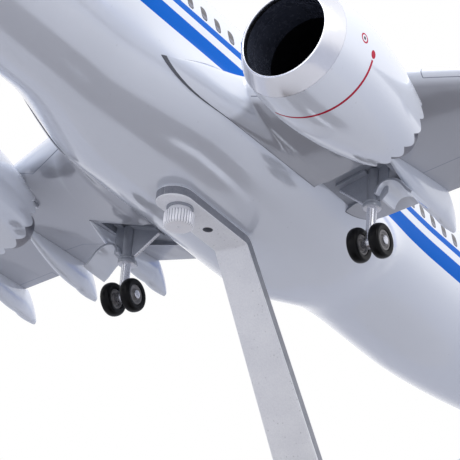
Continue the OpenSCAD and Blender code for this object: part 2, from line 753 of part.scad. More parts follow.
// Polished lip: a slanted, slightly bulging face that is rounded where it turns inwards
module intake_lip_part() {
    mid_r = (throat_r + lip_r) / 2;
    steps = 8;
    bulge = 0.85;
    nose = [for (a = [0:15:90]) [lip_nose * (1 - sin(a)), mid_r - (mid_r - throat_r) * cos(a)]];
    outer = [for (k = [1:steps])
        let (t = pow(k / steps, 1.3)) [lip_len * t, mix(lip_r, cowl_r(lip_len), pow(t, bulge))]];
    color(chrome)
        spin_engine()
            polygon(concat([[lip_len, throat_r]], nose, outer));
}

// Notches between the chevrons: each a rounded V across the rear edge
module chevron_notches() {
    half_w = nozzle_r * sin(180 / chevron_n);
    reach = 3;
    side = [[-over, half_w + 0.4], [0, half_w * 0.9], [chevron_depth * 0.75, half_w * 0.35]];
    for (k = [0:chevron_n - 1])
        translate([engine_front - nacelle_len, engine_y, engine_z])
            rotate([360 * (k + 0.5) / chevron_n, 0, 0])
                translate([0, 0, nozzle_r - reach])
                    linear_extrude(2 * reach)
                        polygon(concat([for (p = side) [p[0], -p[1]]], [[chevron_depth, 0]],
                            reversed(side)));
}

// Where the wall behind the fan starts and ends
bulkhead_s = fan_depth + fan_len + fan_rear_gap;
core_from = bulkhead_s + bulkhead_t;

// Outer line of the nacelle behind its lip
cowl_steps = 16;
cowl_line = [for (k = [0:cowl_steps]) let (s = mix(lip_len, nacelle_len, k / cowl_steps)) [s, cowl_r(s)]];

module nacelle_part() {
    bypass_r = nozzle_r - nozzle_wall;
    bypass_len = 14;
    bypass_taper = 0.6;
    duct_from = fan_depth - 6;
    shaft_r = fan_shaft_d / 2;
    inner = [[nacelle_len, bypass_r], [nacelle_len - bypass_len, bypass_r + bypass_taper],
        [core_from, duct_r], [core_from, shaft_r], [bulkhead_s, shaft_r],
        [bulkhead_s, duct_r], [duct_from, duct_r], [lip_len, throat_r]];
    color(lacquer)
        difference() {
            spin_engine() polygon(concat(cowl_line, inner));
            chevron_notches();
        }
}

// Fan: a pointed spinner on a hub, its shaft in the wall behind, and flat blades set at an angle
module fan_part() {
    blade_r = duct_r - fan_gap;
    root_r = fan_hub_r - 0.4;
    tip = fan_depth - spinner_len;
    back = fan_depth + fan_len;
    shaft_r = fan_shaft_d / 2 - axle_fit;
    color(dark_steel) {
        spin_engine()
            polygon([[tip, 0], [tip + 0.4, 0.7], [tip + spinner_len / 2, fan_hub_r * 0.62],
                [fan_depth, fan_hub_r], [back, fan_hub_r], [back, shaft_r],
                [back + bulkhead_t, shaft_r], [back + bulkhead_t, 0]]);
        for (k = [0:blade_n - 1])
            translate([engine_front - fan_depth - fan_len / 2, engine_y, engine_z])
                rotate([360 * k / blade_n, 0, 0])
                    rotate([0, 0, blade_angle])
                        translate([0, 0, root_r])
                            linear_extrude(blade_r - root_r)
                                square([fan_len * 0.92, blade_t], center = true);
    }
}

// Core nozzle: a turned cup, open at the rear
core_end = nacelle_len + core_reach;
module core_nozzle_part() {
    taper_from = nacelle_len - 6;
    bore_r = core_r - core_wall;
    color(steel)
        spin_engine()
            polygon([[core_from, 0], [core_from, core_r + 1.6], [taper_from, core_r + 1.9],
                [core_end - 2, core_r + 0.3], [core_end, core_r], [core_end, bore_r],
                [core_end - core_cup, bore_r], [core_end - core_cup, 0]]);
}

// Exhaust plug: a turned cone standing on the bottom of the core nozzle's cup
module exhaust_plug_part() {
    from = core_end - core_cup;
    end = core_end + plug_reach;
    color(dark_steel)
        spin_engine()
            polygon([[from, 0], [from, plug_r * 0.9], [from + core_cup / 2, plug_r],
                [core_end, plug_r * 0.8], [end - 1.5, plug_r * 0.32], [end, plug_r * 0.1], [end, 0]]);
}

// Pylon: a blade between the nacelle's crown and the wing's leading edge
module pylon_part() {
    front = engine_front - pylon_front;
    inner_y = engine_y - pylon_w / 2;
    le = wing_le(inner_y);
    le_z = wing_zl(inner_y);
    steps = 8;
    crown_run = 8;
    crown = [[front, engine_z + cowl_r(pylon_front) - 0.6],
        [front - crown_run, engine_z + cowl_r(pylon_front + crown_run) + 0.9]];
    nose = [[le + 1, le_z + 0.4], [le + 0.3, le_z]];
    top = [for (k = [0:steps])
        let (x = mix(le - 0.4, pylon_rear, k / steps))
        [x, wing_low(x, inner_y) - skin_gap]];
    tail = [pylon_rear, wing_low(pylon_rear, inner_y) - 1];
    below_nozzle = [engine_front - nacelle_len - 4, engine_z + core_r + 2.4];
    color(lacquer)
        difference() {
            translate([0, engine_y - pylon_w / 2, 0])
                rotate([90, 0, 0])
                    mirror([0, 0, 1])
                        linear_extrude(pylon_w)
                            polygon(concat(crown, nose, top, [tail, below_nozzle],
                                [[front, engine_z + 6]]));
            spin_engine()
                polygon(concat([[lip_len, 0]], cowl_line, [[nacelle_len, 0]]));
        }
}

// Main leg: upper cylinder, collar, piston and axle boss
boss_gap = 0.25;
module main_leg_part() {
    boss_w = wheel_pitch - tyre_w - 2 * side_gap - 2 * boss_gap;
    color(steel)
        difference() {
            union() {
                translate([0, leg_y, collar_z + collar_h])
                    cylinder(d = leg_d, h = bay_roof(leg_y - leg_d / 2) - collar_z - collar_h - glue);
                translate([0, leg_y, collar_z])
                    cylinder(d = collar_d, h = collar_h);
                translate([0, leg_y, axle_z])
                    cylinder(d = piston_d, h = collar_z - axle_z);
                translate([0, leg_y - boss_w / 2, axle_z])
                    rotate([-90, 0, 0])
                        cylinder(d = axle_d + 2 * boss_wall, h = boss_w);
            }
            translate([0, leg_y - boss_w, axle_z])
                rotate([-90, 0, 0])
                    cylinder(d = axle_d, h = 2 * boss_w);
        }
}

// Side brace: a sheet web round the leg, a flange along the bay roof, a rod on the slanted edge
module gear_brace_part() {
    inner = [leg_y - brace_inner, bay_roof(leg_y - brace_inner) - glue];
    outer = [leg_y + brace_outer, bay_roof(leg_y + brace_outer) - glue];
    down = [0, brace_t];
    low = collar_z + collar_h + 0.1;
    foot = [leg_y - collar_d / 2, low];
    rod_from = inner - [-0.25, brace_t + 0.2];
    slant = foot - rod_from;
    color(dark_steel)
        difference() {
            union() {
                translate([-brace_t / 2, 0, 0])
                    rotate([90, 0, 90])
                        linear_extrude(brace_t)
                            polygon([inner, outer, outer - [0, brace_tab], [leg_y + collar_d / 2, low],
                                foot, inner - down]);
                translate([-flange_w / 2, 0, 0])
                    rotate([90, 0, 90])
                        linear_extrude(flange_w)
                            polygon([inner, outer, outer - down, inner - down]);
                translate([0, rod_from[0], rod_from[1]])
                    rotate([atan2(-slant[0], slant[1]), 0, 0])
                        cylinder(d = brace_rod_d, h = norm(slant));
            }
            leg_bore();
        }
}

// Room for the leg's upper cylinder in the pieces that hold it
module leg_bore() {
    translate([0, leg_y, axle_z])
        cylinder(d = leg_d, h = -axle_z);
}

// Middle line of the gear door, seen from the front, as [outboard of the leg, height]
door_line = [[1.9, -19.4], [2.4, -17.8], [3.4, -16.6], [5.2, -16.1], [7, -16.5], [8.6, -17.4],
    [10, -19], [11.2, -20.5], [12.4, -21.4]];
function door_side(k, s) =
    let (p = door_line[k], a = door_line[max(0, k - 1)], b = door_line[min(len(door_line) - 1, k + 1)],
        d = b - a, n = [-d[1], d[0]] / norm(d))
    [leg_y + p[0], p[1]] + s * door_t / 2 * n;

// Curved gear door, slotted over the web of the side brace
module gear_door_part() {
    last = len(door_line) - 1;
    color(lacquer)
        difference() {
            translate([door_front - door_len, 0, 0])
                rotate([90, 0, 90])
                    linear_extrude(door_len)
                        polygon(concat([for (k = [0:last]) door_side(k, 1)],
                            [for (k = [last:-1:0]) door_side(k, -1)]));
            translate([-brace_t / 2 - glue, leg_y, axle_z])
                cube([brace_t + 2 * glue, brace_outer + glue, -axle_z]);
            leg_bore();
        }
}

// Wheels: an axle with heads, hubs that turn on it and tyres on the hubs
module axle(x, y, z, pitch_w, w) {
    half = pitch_w / 2 + w / 2 + side_gap;
    translate([x, y - half, z])
        rotate([-90, 0, 0])
            cylinder(d = axle_d, h = 2 * half);
    for (s = [-1, 1])
        translate([x, y + s * half + (s < 0 ? -axle_head_t : 0), z])
            rotate([-90, 0, 0])
                cylinder(d = axle_head_d, h = axle_head_t);
}

// Hub: half of its outline from the bore to the rim, mirrored across its middle
module hub(x, y, z, d, w) {
    rim = 0.5;
    dish = 0.35;
    edge = 0.05;
    side = [[axle_d / 2 + axle_fit, w / 2], [axle_head_d / 2 + 0.2, w / 2],
        [d / 2 - 2 * rim, w / 2 - dish], [d / 2 - rim, w / 2 - edge], [d / 2, w / 2 - edge]];
    translate([x, y, z])
        rotate([90, 0, 0])
            rotate_extrude()
                polygon(concat([for (p = side) [p[0], -p[1]]], reversed(side)));
}

// Tyre: its tread bulges from shoulders above the hub, and its beads lie inside the rim's width
module tyre(x, y, z, d, w, bore) {
    shoulder = mix(bore / 2, d / 2, 0.35);
    widest = 75;
    bead = w / 2 - 0.25;
    bulge = [for (a = [-widest:15:widest])
        [shoulder + (d / 2 - shoulder) * pow(cos(a), 0.6), w / 2 * sin(a) / sin(widest)]];
    translate([x, y, z])
        rotate([90, 0, 0])
            rotate_extrude()
                polygon(concat([[bore / 2, -bead]], bulge, [[bore / 2, bead]]));
}

// Nose leg: cylinder into the fuselage's underside, piston and axle boss
nose_boss_gap = 0.2;
nose_boss_wall = 0.45;
nose_hub_w = nose_tyre_w - 0.4;
module nose_leg() {
    foot_z = nose_axle_z + nose_piston_h;
    top = body_z(nose_leg_x) - body_h(nose_leg_x) - glue;
    boss_w = nose_pitch - nose_tyre_w - 2 * side_gap - 2 * nose_boss_gap;
    color(steel)
        difference() {
            union() {
                translate([nose_leg_x, 0, foot_z])
                    cylinder(d = nose_leg_d, h = top - foot_z);
                translate([nose_leg_x, 0, nose_axle_z])
                    cylinder(d = nose_piston_d, h = nose_piston_h);
                translate([nose_leg_x, -boss_w / 2, nose_axle_z])
                    rotate([-90, 0, 0])
                        cylinder(d = axle_d + 2 * nose_boss_wall, h = boss_w);
            }
            translate([nose_leg_x, -boss_w, nose_axle_z])
                rotate([-90, 0, 0])
                    cylinder(d = axle_d, h = 2 * boss_w);
        }
}

// Nose gear doors: two sheets that hang from the fuselage's underside, with clipped lower corners
module nose_gear_doors() {
    l = nose_door_len;
    inner_y = (nose_door_gap - nose_door_t) / 2;
    function hull_low(x) = body_z(x) - body_h(x) * sqrt(1 - pow(inner_y / body_w(x), 2)) - glue;
    steps = 6;
    from = nose_leg_x - l / 2;
    rim = [for (k = [0:steps]) [l * k / steps, hull_low(from + l * k / steps)]];
    foot_z = hull_low(nose_leg_x) - nose_door_h;
    corner_z = foot_z + nose_door_h * 0.25;
    clip = 2;
    color(lacquer)
        for (s = [-1, 1])
            translate([from, s * nose_door_gap / 2 - nose_door_t / 2, 0])
                rotate([90, 0, 0])
                    mirror([0, 0, 1])
                        linear_extrude(nose_door_t)
                            polygon(concat(rim,
                                [[l, corner_z], [l - clip, foot_z], [clip, foot_z], [0, corner_z]]));
}

// Stand: the belly plate lies along the belly, the arm leans back, the foot lies on the board
arm_tilt = arm_angle + pitch;
bar_mid_z = felt_t + board_t + bar_t / 2;
heel_x = -board_l / 2 + heel_margin;
bend_at = [heel_x + arm_len * cos(arm_tilt), bar_mid_z + arm_len * sin(arm_tilt)];
bend_local = [plate_bend_x, -belly_depth - bar_t / 2];
craft_x = bend_at[0] - (bend_local[0] * cos(pitch) - bend_local[1] * sin(pitch));
craft_z = bend_at[1] - (bend_local[0] * sin(pitch) + bend_local[1] * cos(pitch));

module craft() {
    translate([craft_x, 0, craft_z])
        rotate([0, -pitch, 0])
            children();
}

module left_right(side) {
    if (side > 0) children();
    else mirror([0, 1, 0]) children();
}

// Where a face of the bar turns at p, between directions a and b, on side s of its middle
function bar_corner(p, a, b, s) =
    let (mid = (a + b) / 2, off = s * bar_t / 2 / cos((a - b) / 2))
    [p[0] - off * sin(mid), p[1] + off * cos(mid)];

// A side outline of the bar, drawn in x and z, at width w
module bar_strip(w) {
    translate([0, w / 2, 0])
        rotate([90, 0, 0])
            linear_extrude(w)
                children();
}

module stand_arm() {
    half = bar_t / 2;
    heel = [heel_x, bar_mid_z];
    heel_up = bar_corner(heel, 180, arm_tilt, 1);
    heel_down = bar_corner(heel, 180, arm_tilt, -1);
    foot_end = heel_x + foot_len - foot_w / 2;
    bend_up = bar_corner(bend_at, arm_tilt, pitch, 1);
    bend_down = bar_corner(bend_at, arm_tilt, pitch, -1);
    plate_len = plate_front - plate_bend_x - bar_w / 2;
    plate_end = bend_at + plate_len * [cos(pitch), sin(pitch)];
    plate_up = half * [-sin(pitch), cos(pitch)];
    color(steel)
        difference() {
            union() {
                difference() {
                    bar_strip(foot_w)
                        polygon([heel_up, bend_up, bend_down, heel_down]);
                    for (s = [0, 1])
                        mirror([0, s, 0])
                            translate([heel[0], 0, heel[1]])
                                rotate([0, -arm_tilt, 0])
                                    translate([0, 0, -arm_len / 2])
                                        linear_extrude(arm_len)
                                            polygon([[0, foot_w / 2], [arm_len, bar_w / 2],
                                                [1.5 * arm_len, bar_w / 2], [1.5 * arm_len, foot_w],
                                                [0, foot_w]]);
                }
                bar_strip(bar_w)
                    polygon([bend_up, plate_end + plate_up, plate_end - plate_up, bend_down]);
                bar_strip(foot_w)
                    polygon([heel_up, heel_down, [foot_end, heel[1] + half], [foot_end, heel[1] - half]]);
                translate([foot_end, 0, heel[1] - half])
                    cylinder(d = foot_w - 2 * eps, h = bar_t);
                craft()
                    translate([plate_bend_x + plate_len, 0, -belly_depth - bar_t])
                        cylinder(d = bar_w - 2 * eps, h = bar_t);
            }
            craft() {
                translate([screw_x, 0, -belly_depth - bar_t - over])
                    cylinder(d = screw_hole_d, h = bar_t + 2 * over);
                translate([spare_hole_x, 0, -belly_depth - bar_t - over])
                    cylinder(d = spare_hole_d, h = bar_t + 2 * over);
            }
            for (d = [board_screw_1, board_screw_2])
                translate([heel_x + d, 0, bar_mid_z - bar_t])
                    cylinder(d = foot_hole_d, h = 2 * bar_t);
        }
}

module screw_washer() {
    color(steel)
        craft()
            translate([screw_x, 0, -belly_depth - bar_t - washer_t])
                difference() {
                    cylinder(d = washer_d, h = washer_t);
                    translate([0, 0, -over])
                        cylinder(d = screw_d + 2 * screw_fit, h = washer_t + 2 * over);
                }
}

// Thumb screw: a plain shank, a neck, and a knurled head with a cone at each end
module thumb_screw() {
    head_top = -belly_depth - bar_t - washer_t;
    cone_h = knurl_chamfer + eps;
    end_d = knurl_d - 1.2;
    root_d = knurl_d - 2 * knurl_depth - 0.1;
    function knurl_r(i) = knurl_d / 2 - (i % 2) * knurl_depth;
    color(steel)
        craft()
            translate([screw_x, 0, head_top]) {
                cylinder(d = screw_d, h = washer_t + bar_t + screw_grip);
                translate([0, 0, -neck_h])
                    cylinder(d = neck_d, h = neck_h);
                translate([0, 0, -neck_h - knurl_h + knurl_chamfer])
                    linear_extrude(knurl_h - 2 * knurl_chamfer)
                        polygon([for (i = [0:2 * knurl_n - 1])
                            knurl_r(i) * [cos(180 * i / knurl_n), sin(180 * i / knurl_n)]]);
                translate([0, 0, -neck_h - knurl_h])
                    cylinder(d1 = end_d, d2 = root_d, h = cone_h);
                translate([0, 0, -neck_h - cone_h])
                    cylinder(d1 = root_d, d2 = end_d, h = cone_h);
            }
}

// A rounded rectangle as one hull, and the same outline from squares and circles
module rounded_board(l, w, r) {
    hull()
        for (x = [-l / 2 + r, l / 2 - r], y = [-w / 2 + r, w / 2 - r])
            translate([x, y]) circle(r, $fn = 32);
}

module board_outline(l, w, r) {
    square([l - 2 * r, w], center = true);
    square([l, w - 2 * r], center = true);
    for (x = [-l / 2 + r, l / 2 - r], y = [-w / 2 + r, w / 2 - r])
        translate([x, y]) circle(r);
}

module base_board() {
    color(board_wood)
        difference() {
            union() {
                translate([0, 0, felt_t])
                    linear_extrude(board_t - board_chamfer)
                        board_outline(board_l, board_w, board_corner);
                translate([0, 0, felt_t + board_t - board_chamfer])
                    hull() {
                        linear_extrude(eps)
                            rounded_board(board_l, board_w, board_corner);
                        translate([0, 0, board_chamfer - eps])
                            linear_extrude(eps)
                                rounded_board(board_l - 2 * board_chamfer, board_w - 2 * board_chamfer,
                                    board_corner - board_chamfer);
                    }
            }
            for (d = [board_screw_1, board_screw_2])
                translate([heel_x + d, 0, felt_t + board_t - board_screw_grip])
                    cylinder(d = board_screw_d, h = board_screw_grip + over);
        }
}

// Two pan head screws with a cross recess through the foot into the board
module base_screws() {
    seat = felt_t + board_t + bar_t;
    slot_l = board_screw_head_d * 0.56;
    slot_w = 0.9;
    color(steel)
        for (d = [board_screw_1, board_screw_2])
            translate([heel_x + d, 0, 0])
                difference() {
                    union() {
                        translate([0, 0, seat - bar_t - board_screw_grip])
                            cylinder(d = board_screw_d, h = bar_t + board_screw_grip);
                        translate([0, 0, seat])
                            intersection() {
                                cylinder(d = board_screw_head_d, h = board_screw_head_h);
                                translate([0, 0, board_screw_head_h - board_screw_head_d * 0.72])
                                    sphere(d = board_screw_head_d * 1.44);
                            }
                    }
                    translate([0, 0, seat + board_screw_head_h * 0.45])
                        linear_extrude(board_screw_head_h)
                            for (a = [0, 90])
                                rotate(a)
                                    square([slot_l, slot_w], center = true);
                }
}

module base_felt() {
    color(felt_black)
        linear_extrude(felt_t)
            board_outline(board_l - 2 * felt_margin, board_w - 2 * felt_margin, board_corner - felt_margin);
}

outer_y = leg_y + wheel_pitch / 2;
inner_y = leg_y - wheel_pitch / 2;

module nose_tyre(y) {
    tyre(nose_leg_x, y, nose_axle_z, nose_tyre_d, nose_tyre_w, nose_hub_d);
}

module nose_hub(y) {
    hub(nose_leg_x, y, nose_axle_z, nose_hub_d, nose_hub_w);
}

craft() fuselage();
craft() belly_insert();
craft() fin();
craft() wing_part();  // left_wing
craft() left_right(-1) wing_part();  // right_wing
craft() winglet_part();  // left_winglet
craft() left_right(-1) winglet_part();  // right_winglet
craft() flap_fairings();  // left_flap_fairings
craft() left_right(-1) flap_fairings();  // right_flap_fairings
craft() tailplane_part();  // left_tailplane
craft() left_right(-1) tailplane_part();  // right_tailplane
craft() pylon_part();  // left_pylon
craft() left_right(-1) pylon_part();  // right_pylon
craft() nacelle_part();  // left_nacelle
craft() left_right(-1) nacelle_part();  // right_nacelle
craft() intake_lip_part();  // left_intake_lip
craft() left_right(-1) intake_lip_part();  // right_intake_lip
craft() fan_part();  // left_fan
craft() left_right(-1) fan_part();  // right_fan
craft() core_nozzle_part();  // left_core_nozzle
craft() left_right(-1) core_nozzle_part();  // right_core_nozzle
craft() exhaust_plug_part();  // left_exhaust_plug
craft() left_right(-1) exhaust_plug_part();  // right_exhaust_plug
craft() main_leg_part();  // left_main_leg
craft() left_right(-1) main_leg_part();  // right_main_leg
craft() gear_brace_part();  // left_gear_brace
craft() left_right(-1) gear_brace_part();  // right_gear_brace
craft() gear_door_part();  // left_gear_door
craft() left_right(-1) gear_door_part();  // right_gear_door
craft() color(steel) axle(0, leg_y, axle_z, wheel_pitch, hub_w);  // left_main_axle
craft() color(steel) axle(0, -leg_y, axle_z, wheel_pitch, hub_w);  // right_main_axle
craft() color(black_rubber) tyre(0, outer_y, axle_z, tyre_d, tyre_w, hub_d);  // left_outer_tyre
craft() color(black_rubber) tyre(0, inner_y, axle_z, tyre_d, tyre_w, hub_d);  // left_inner_tyre
craft() color(black_rubber) tyre(0, -inner_y, axle_z, tyre_d, tyre_w, hub_d);  // right_inner_tyre
craft() color(black_rubber) tyre(0, -outer_y, axle_z, tyre_d, tyre_w, hub_d);  // right_outer_tyre
craft() color(dark_steel) hub(0, outer_y, axle_z, hub_d, hub_w);  // left_outer_hub
craft() color(dark_steel) hub(0, inner_y, axle_z, hub_d, hub_w);  // left_inner_hub
craft() color(dark_steel) hub(0, -inner_y, axle_z, hub_d, hub_w);  // right_inner_hub
craft() color(dark_steel) hub(0, -outer_y, axle_z, hub_d, hub_w);  // right_outer_hub
craft() nose_leg();
craft() color(steel) axle(nose_leg_x, 0, nose_axle_z, nose_pitch, nose_hub_w);  // nose_axle
craft() color(black_rubber) nose_tyre(nose_pitch / 2);  // left_nose_tyre
craft() color(black_rubber) nose_tyre(-nose_pitch / 2);  // right_nose_tyre
craft() color(dark_steel) nose_hub(nose_pitch / 2);  // left_nose_hub
craft() color(dark_steel) nose_hub(-nose_pitch / 2);  // right_nose_hub
craft() nose_gear_doors();
stand_arm();
thumb_screw();
screw_washer();
base_board();
base_screws();
base_felt();
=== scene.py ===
"""Model airliner on a desk stand: lacquered aircraft, chromed intakes, landing gear, bent stand arm, board.

Sizes are in millimetres. The aircraft is drawn level, with its nose along +X, its port wing along +Y
and the main gear legs at station 0, and is then pitched up and set on its stand. Every skin is a grid
of two parameters, worked out as whole arrays.
"""

import logging
import math
from collections.abc import Callable
from dataclasses import dataclass, field
from enum import Enum

import bpy
import numpy as np
from mathutils import Matrix, Vector


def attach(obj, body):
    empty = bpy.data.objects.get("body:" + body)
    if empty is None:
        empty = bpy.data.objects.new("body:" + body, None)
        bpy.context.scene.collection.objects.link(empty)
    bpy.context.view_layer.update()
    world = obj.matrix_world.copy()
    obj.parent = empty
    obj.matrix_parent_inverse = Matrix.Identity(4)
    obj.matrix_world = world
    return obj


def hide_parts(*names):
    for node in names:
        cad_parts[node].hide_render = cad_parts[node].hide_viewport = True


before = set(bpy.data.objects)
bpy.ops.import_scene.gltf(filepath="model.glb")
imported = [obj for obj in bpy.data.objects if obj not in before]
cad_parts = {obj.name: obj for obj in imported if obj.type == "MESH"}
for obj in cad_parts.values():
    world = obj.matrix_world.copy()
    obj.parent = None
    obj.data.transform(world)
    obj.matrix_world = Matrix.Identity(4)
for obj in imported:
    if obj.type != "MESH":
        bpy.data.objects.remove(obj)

Array = np.ndarray
Point = tuple[float, float, float]
Pair = tuple[float, float]
MM = 0.001
FINISHES = 3
log = logging.getLogger("airliner")


class Side(Enum):
    """The half of the aircraft that a piece belongs to; its value is the sign of Y."""

    LEFT = 1
    RIGHT = -1

    @property
    def word(self) -> str:
        """The side's name, as it stands in front of a piece's name."""
        return self.name.lower() + "_"


class Cap(Enum):
    """How both ends of a tube are closed."""

    POLE = "fan to the middle of the last ring"
    FLAT = "one flat face"
    OPEN = "left open, where rows join round"


@dataclass(frozen=True)
class Stance:
    """Where the level aircraft goes when it is pitched up on its stand."""

    pitch_deg: float = 8.4
    origin: Point = (-6.416271, 0.0, 167.608825)

    @property
    def pitch(self) -> float:
        """The pitch in radians."""
        return math.radians(self.pitch_deg)

    def to_world(self, points: Array) -> Array:
        """Turns [..., 3] points of the level aircraft about Y and moves them to the stand."""
        c, s = math.cos(self.pitch), math.sin(self.pitch)
        x, y, z = points[..., 0], points[..., 1], points[..., 2]
        ox, oy, oz = self.origin
        return np.stack([ox + x * c - z * s, oy + y, oz + x * s + z * c], -1)

    def mapping(self) -> tuple[Point, Point]:
        """Location and rotation of a Mapping node of scale 1000 that takes metres back to the level aircraft."""
        c, s = math.cos(self.pitch), math.sin(self.pitch)
        ox, oy, oz = self.origin
        return (-(ox * c + oz * s), -oy, -(-ox * s + oz * c)), (0.0, self.pitch, 0.0)


STANCE = Stance()


def tan(degrees: float) -> float:
    """Tangent of an angle in degrees."""
    return math.tan(math.radians(degrees))


def smooth(t: Array) -> Array:
    """A smooth step: t squared times (3 - 2 t), with t kept from 0 to 1."""
    c = np.clip(t, 0.0, 1.0)
    return c * c * (3.0 - 2.0 * c)


def blend(a: Array, b: Array, t: Array) -> Array:
    """Goes from a to b as t goes from 0 to 1."""
    return a + (b - a) * t


def way(value: Array, start: float, end: float) -> Array:
    """How far a value is on the way from start to end, kept from 0 to 1."""
    return np.clip((value - start) / (end - start), 0.0, 1.0)


def swell(t: Array, power: float = 1.0) -> Array:
    """Rises from 0 to 1 as a power of a quarter sine, with t kept from 0 to 1."""
    return np.sin(np.pi / 2 * np.clip(t, 0, 1)) ** power


def around(n: int) -> Array:
    """The angles of n points round a circle, as one row."""
    return np.linspace(0.0, 2 * np.pi, n, endpoint=False)[None, :]


def xyz(x: Array, y: Array, z: Array) -> Array:
    """Points from coordinates, each spread over the shape of the others."""
    return np.stack(np.broadcast_arrays(x, y, z), -1)


def corners(steps: int) -> tuple[Array, Array, Array]:
    """Four quarter circles, one after the other: the angle and the corner's signs in X and Y of each point."""
    quarter = np.linspace(0, np.pi / 2, steps)
    angle = np.concatenate([quarter + k * np.pi / 2 for k in range(4)])
    return angle, np.repeat([1, -1, -1, 1], steps), np.repeat([1, 1, -1, -1], steps)


def rounded(line: Array, reach: float, steps: int = 5, closed: bool = False) -> Array:
    """Rounds the corners of an outline with parabolas.

    Each corner P becomes (1-t)^2 A + 2 t (1-t) P + t^2 B, where A and B lie on its two sides at the
    given reach, or at 0.45 of the side if that is nearer.

    Args:
        line: [n, 2] points.
        reach: how far from a corner its rounding starts.
        steps: points on each rounding.
        closed: whether the last point joins the first.

    Returns:
        The rounded outline, as [m, 2] points.
    """
    line = np.asarray(line, float)

    def towards(other: Array) -> Array:
        """The points at the given reach on the way to the neighbours."""
        way = other - line
        length = np.maximum(np.linalg.norm(way, axis=1), 1e-9)
        return line + way / length[:, None] * np.minimum(reach, 0.45 * length)[:, None]

    start, end = towards(np.roll(line, 1, 0)), towards(np.roll(line, -1, 0))
    t = np.linspace(0.0, 1.0, steps)[None, :, None]
    curve = (1 - t) ** 2 * start[:, None] + 2 * t * (1 - t) * line[:, None] + t * t * end[:, None]
    if closed:
        return curve.reshape(-1, 2)
    return np.concatenate([line[:1], curve[1:-1].reshape(-1, 2), line[-1:]])


def inset(outline: Array, by: float) -> Array:
    """Moves a closed [n, 2] outline inwards by a distance, along its mitred corner normals."""
    nxt = np.roll(outline, -1, 0) - outline
    area = 0.5 * np.sum(outline[:, 0] * np.roll(outline[:, 1], -1) - np.roll(outline[:, 0], -1) * outline[:, 1])
    nxt /= np.maximum(np.linalg.norm(nxt, axis=1), 1e-9)[:, None]
    n_after = np.stack([-nxt[:, 1], nxt[:, 0]], 1) * np.sign(area)
    n_before = np.roll(n_after, 1, 0)
    return outline + by * (n_after + n_before) / np.maximum(0.35, 1 + np.sum(n_after * n_before, 1))[:, None]


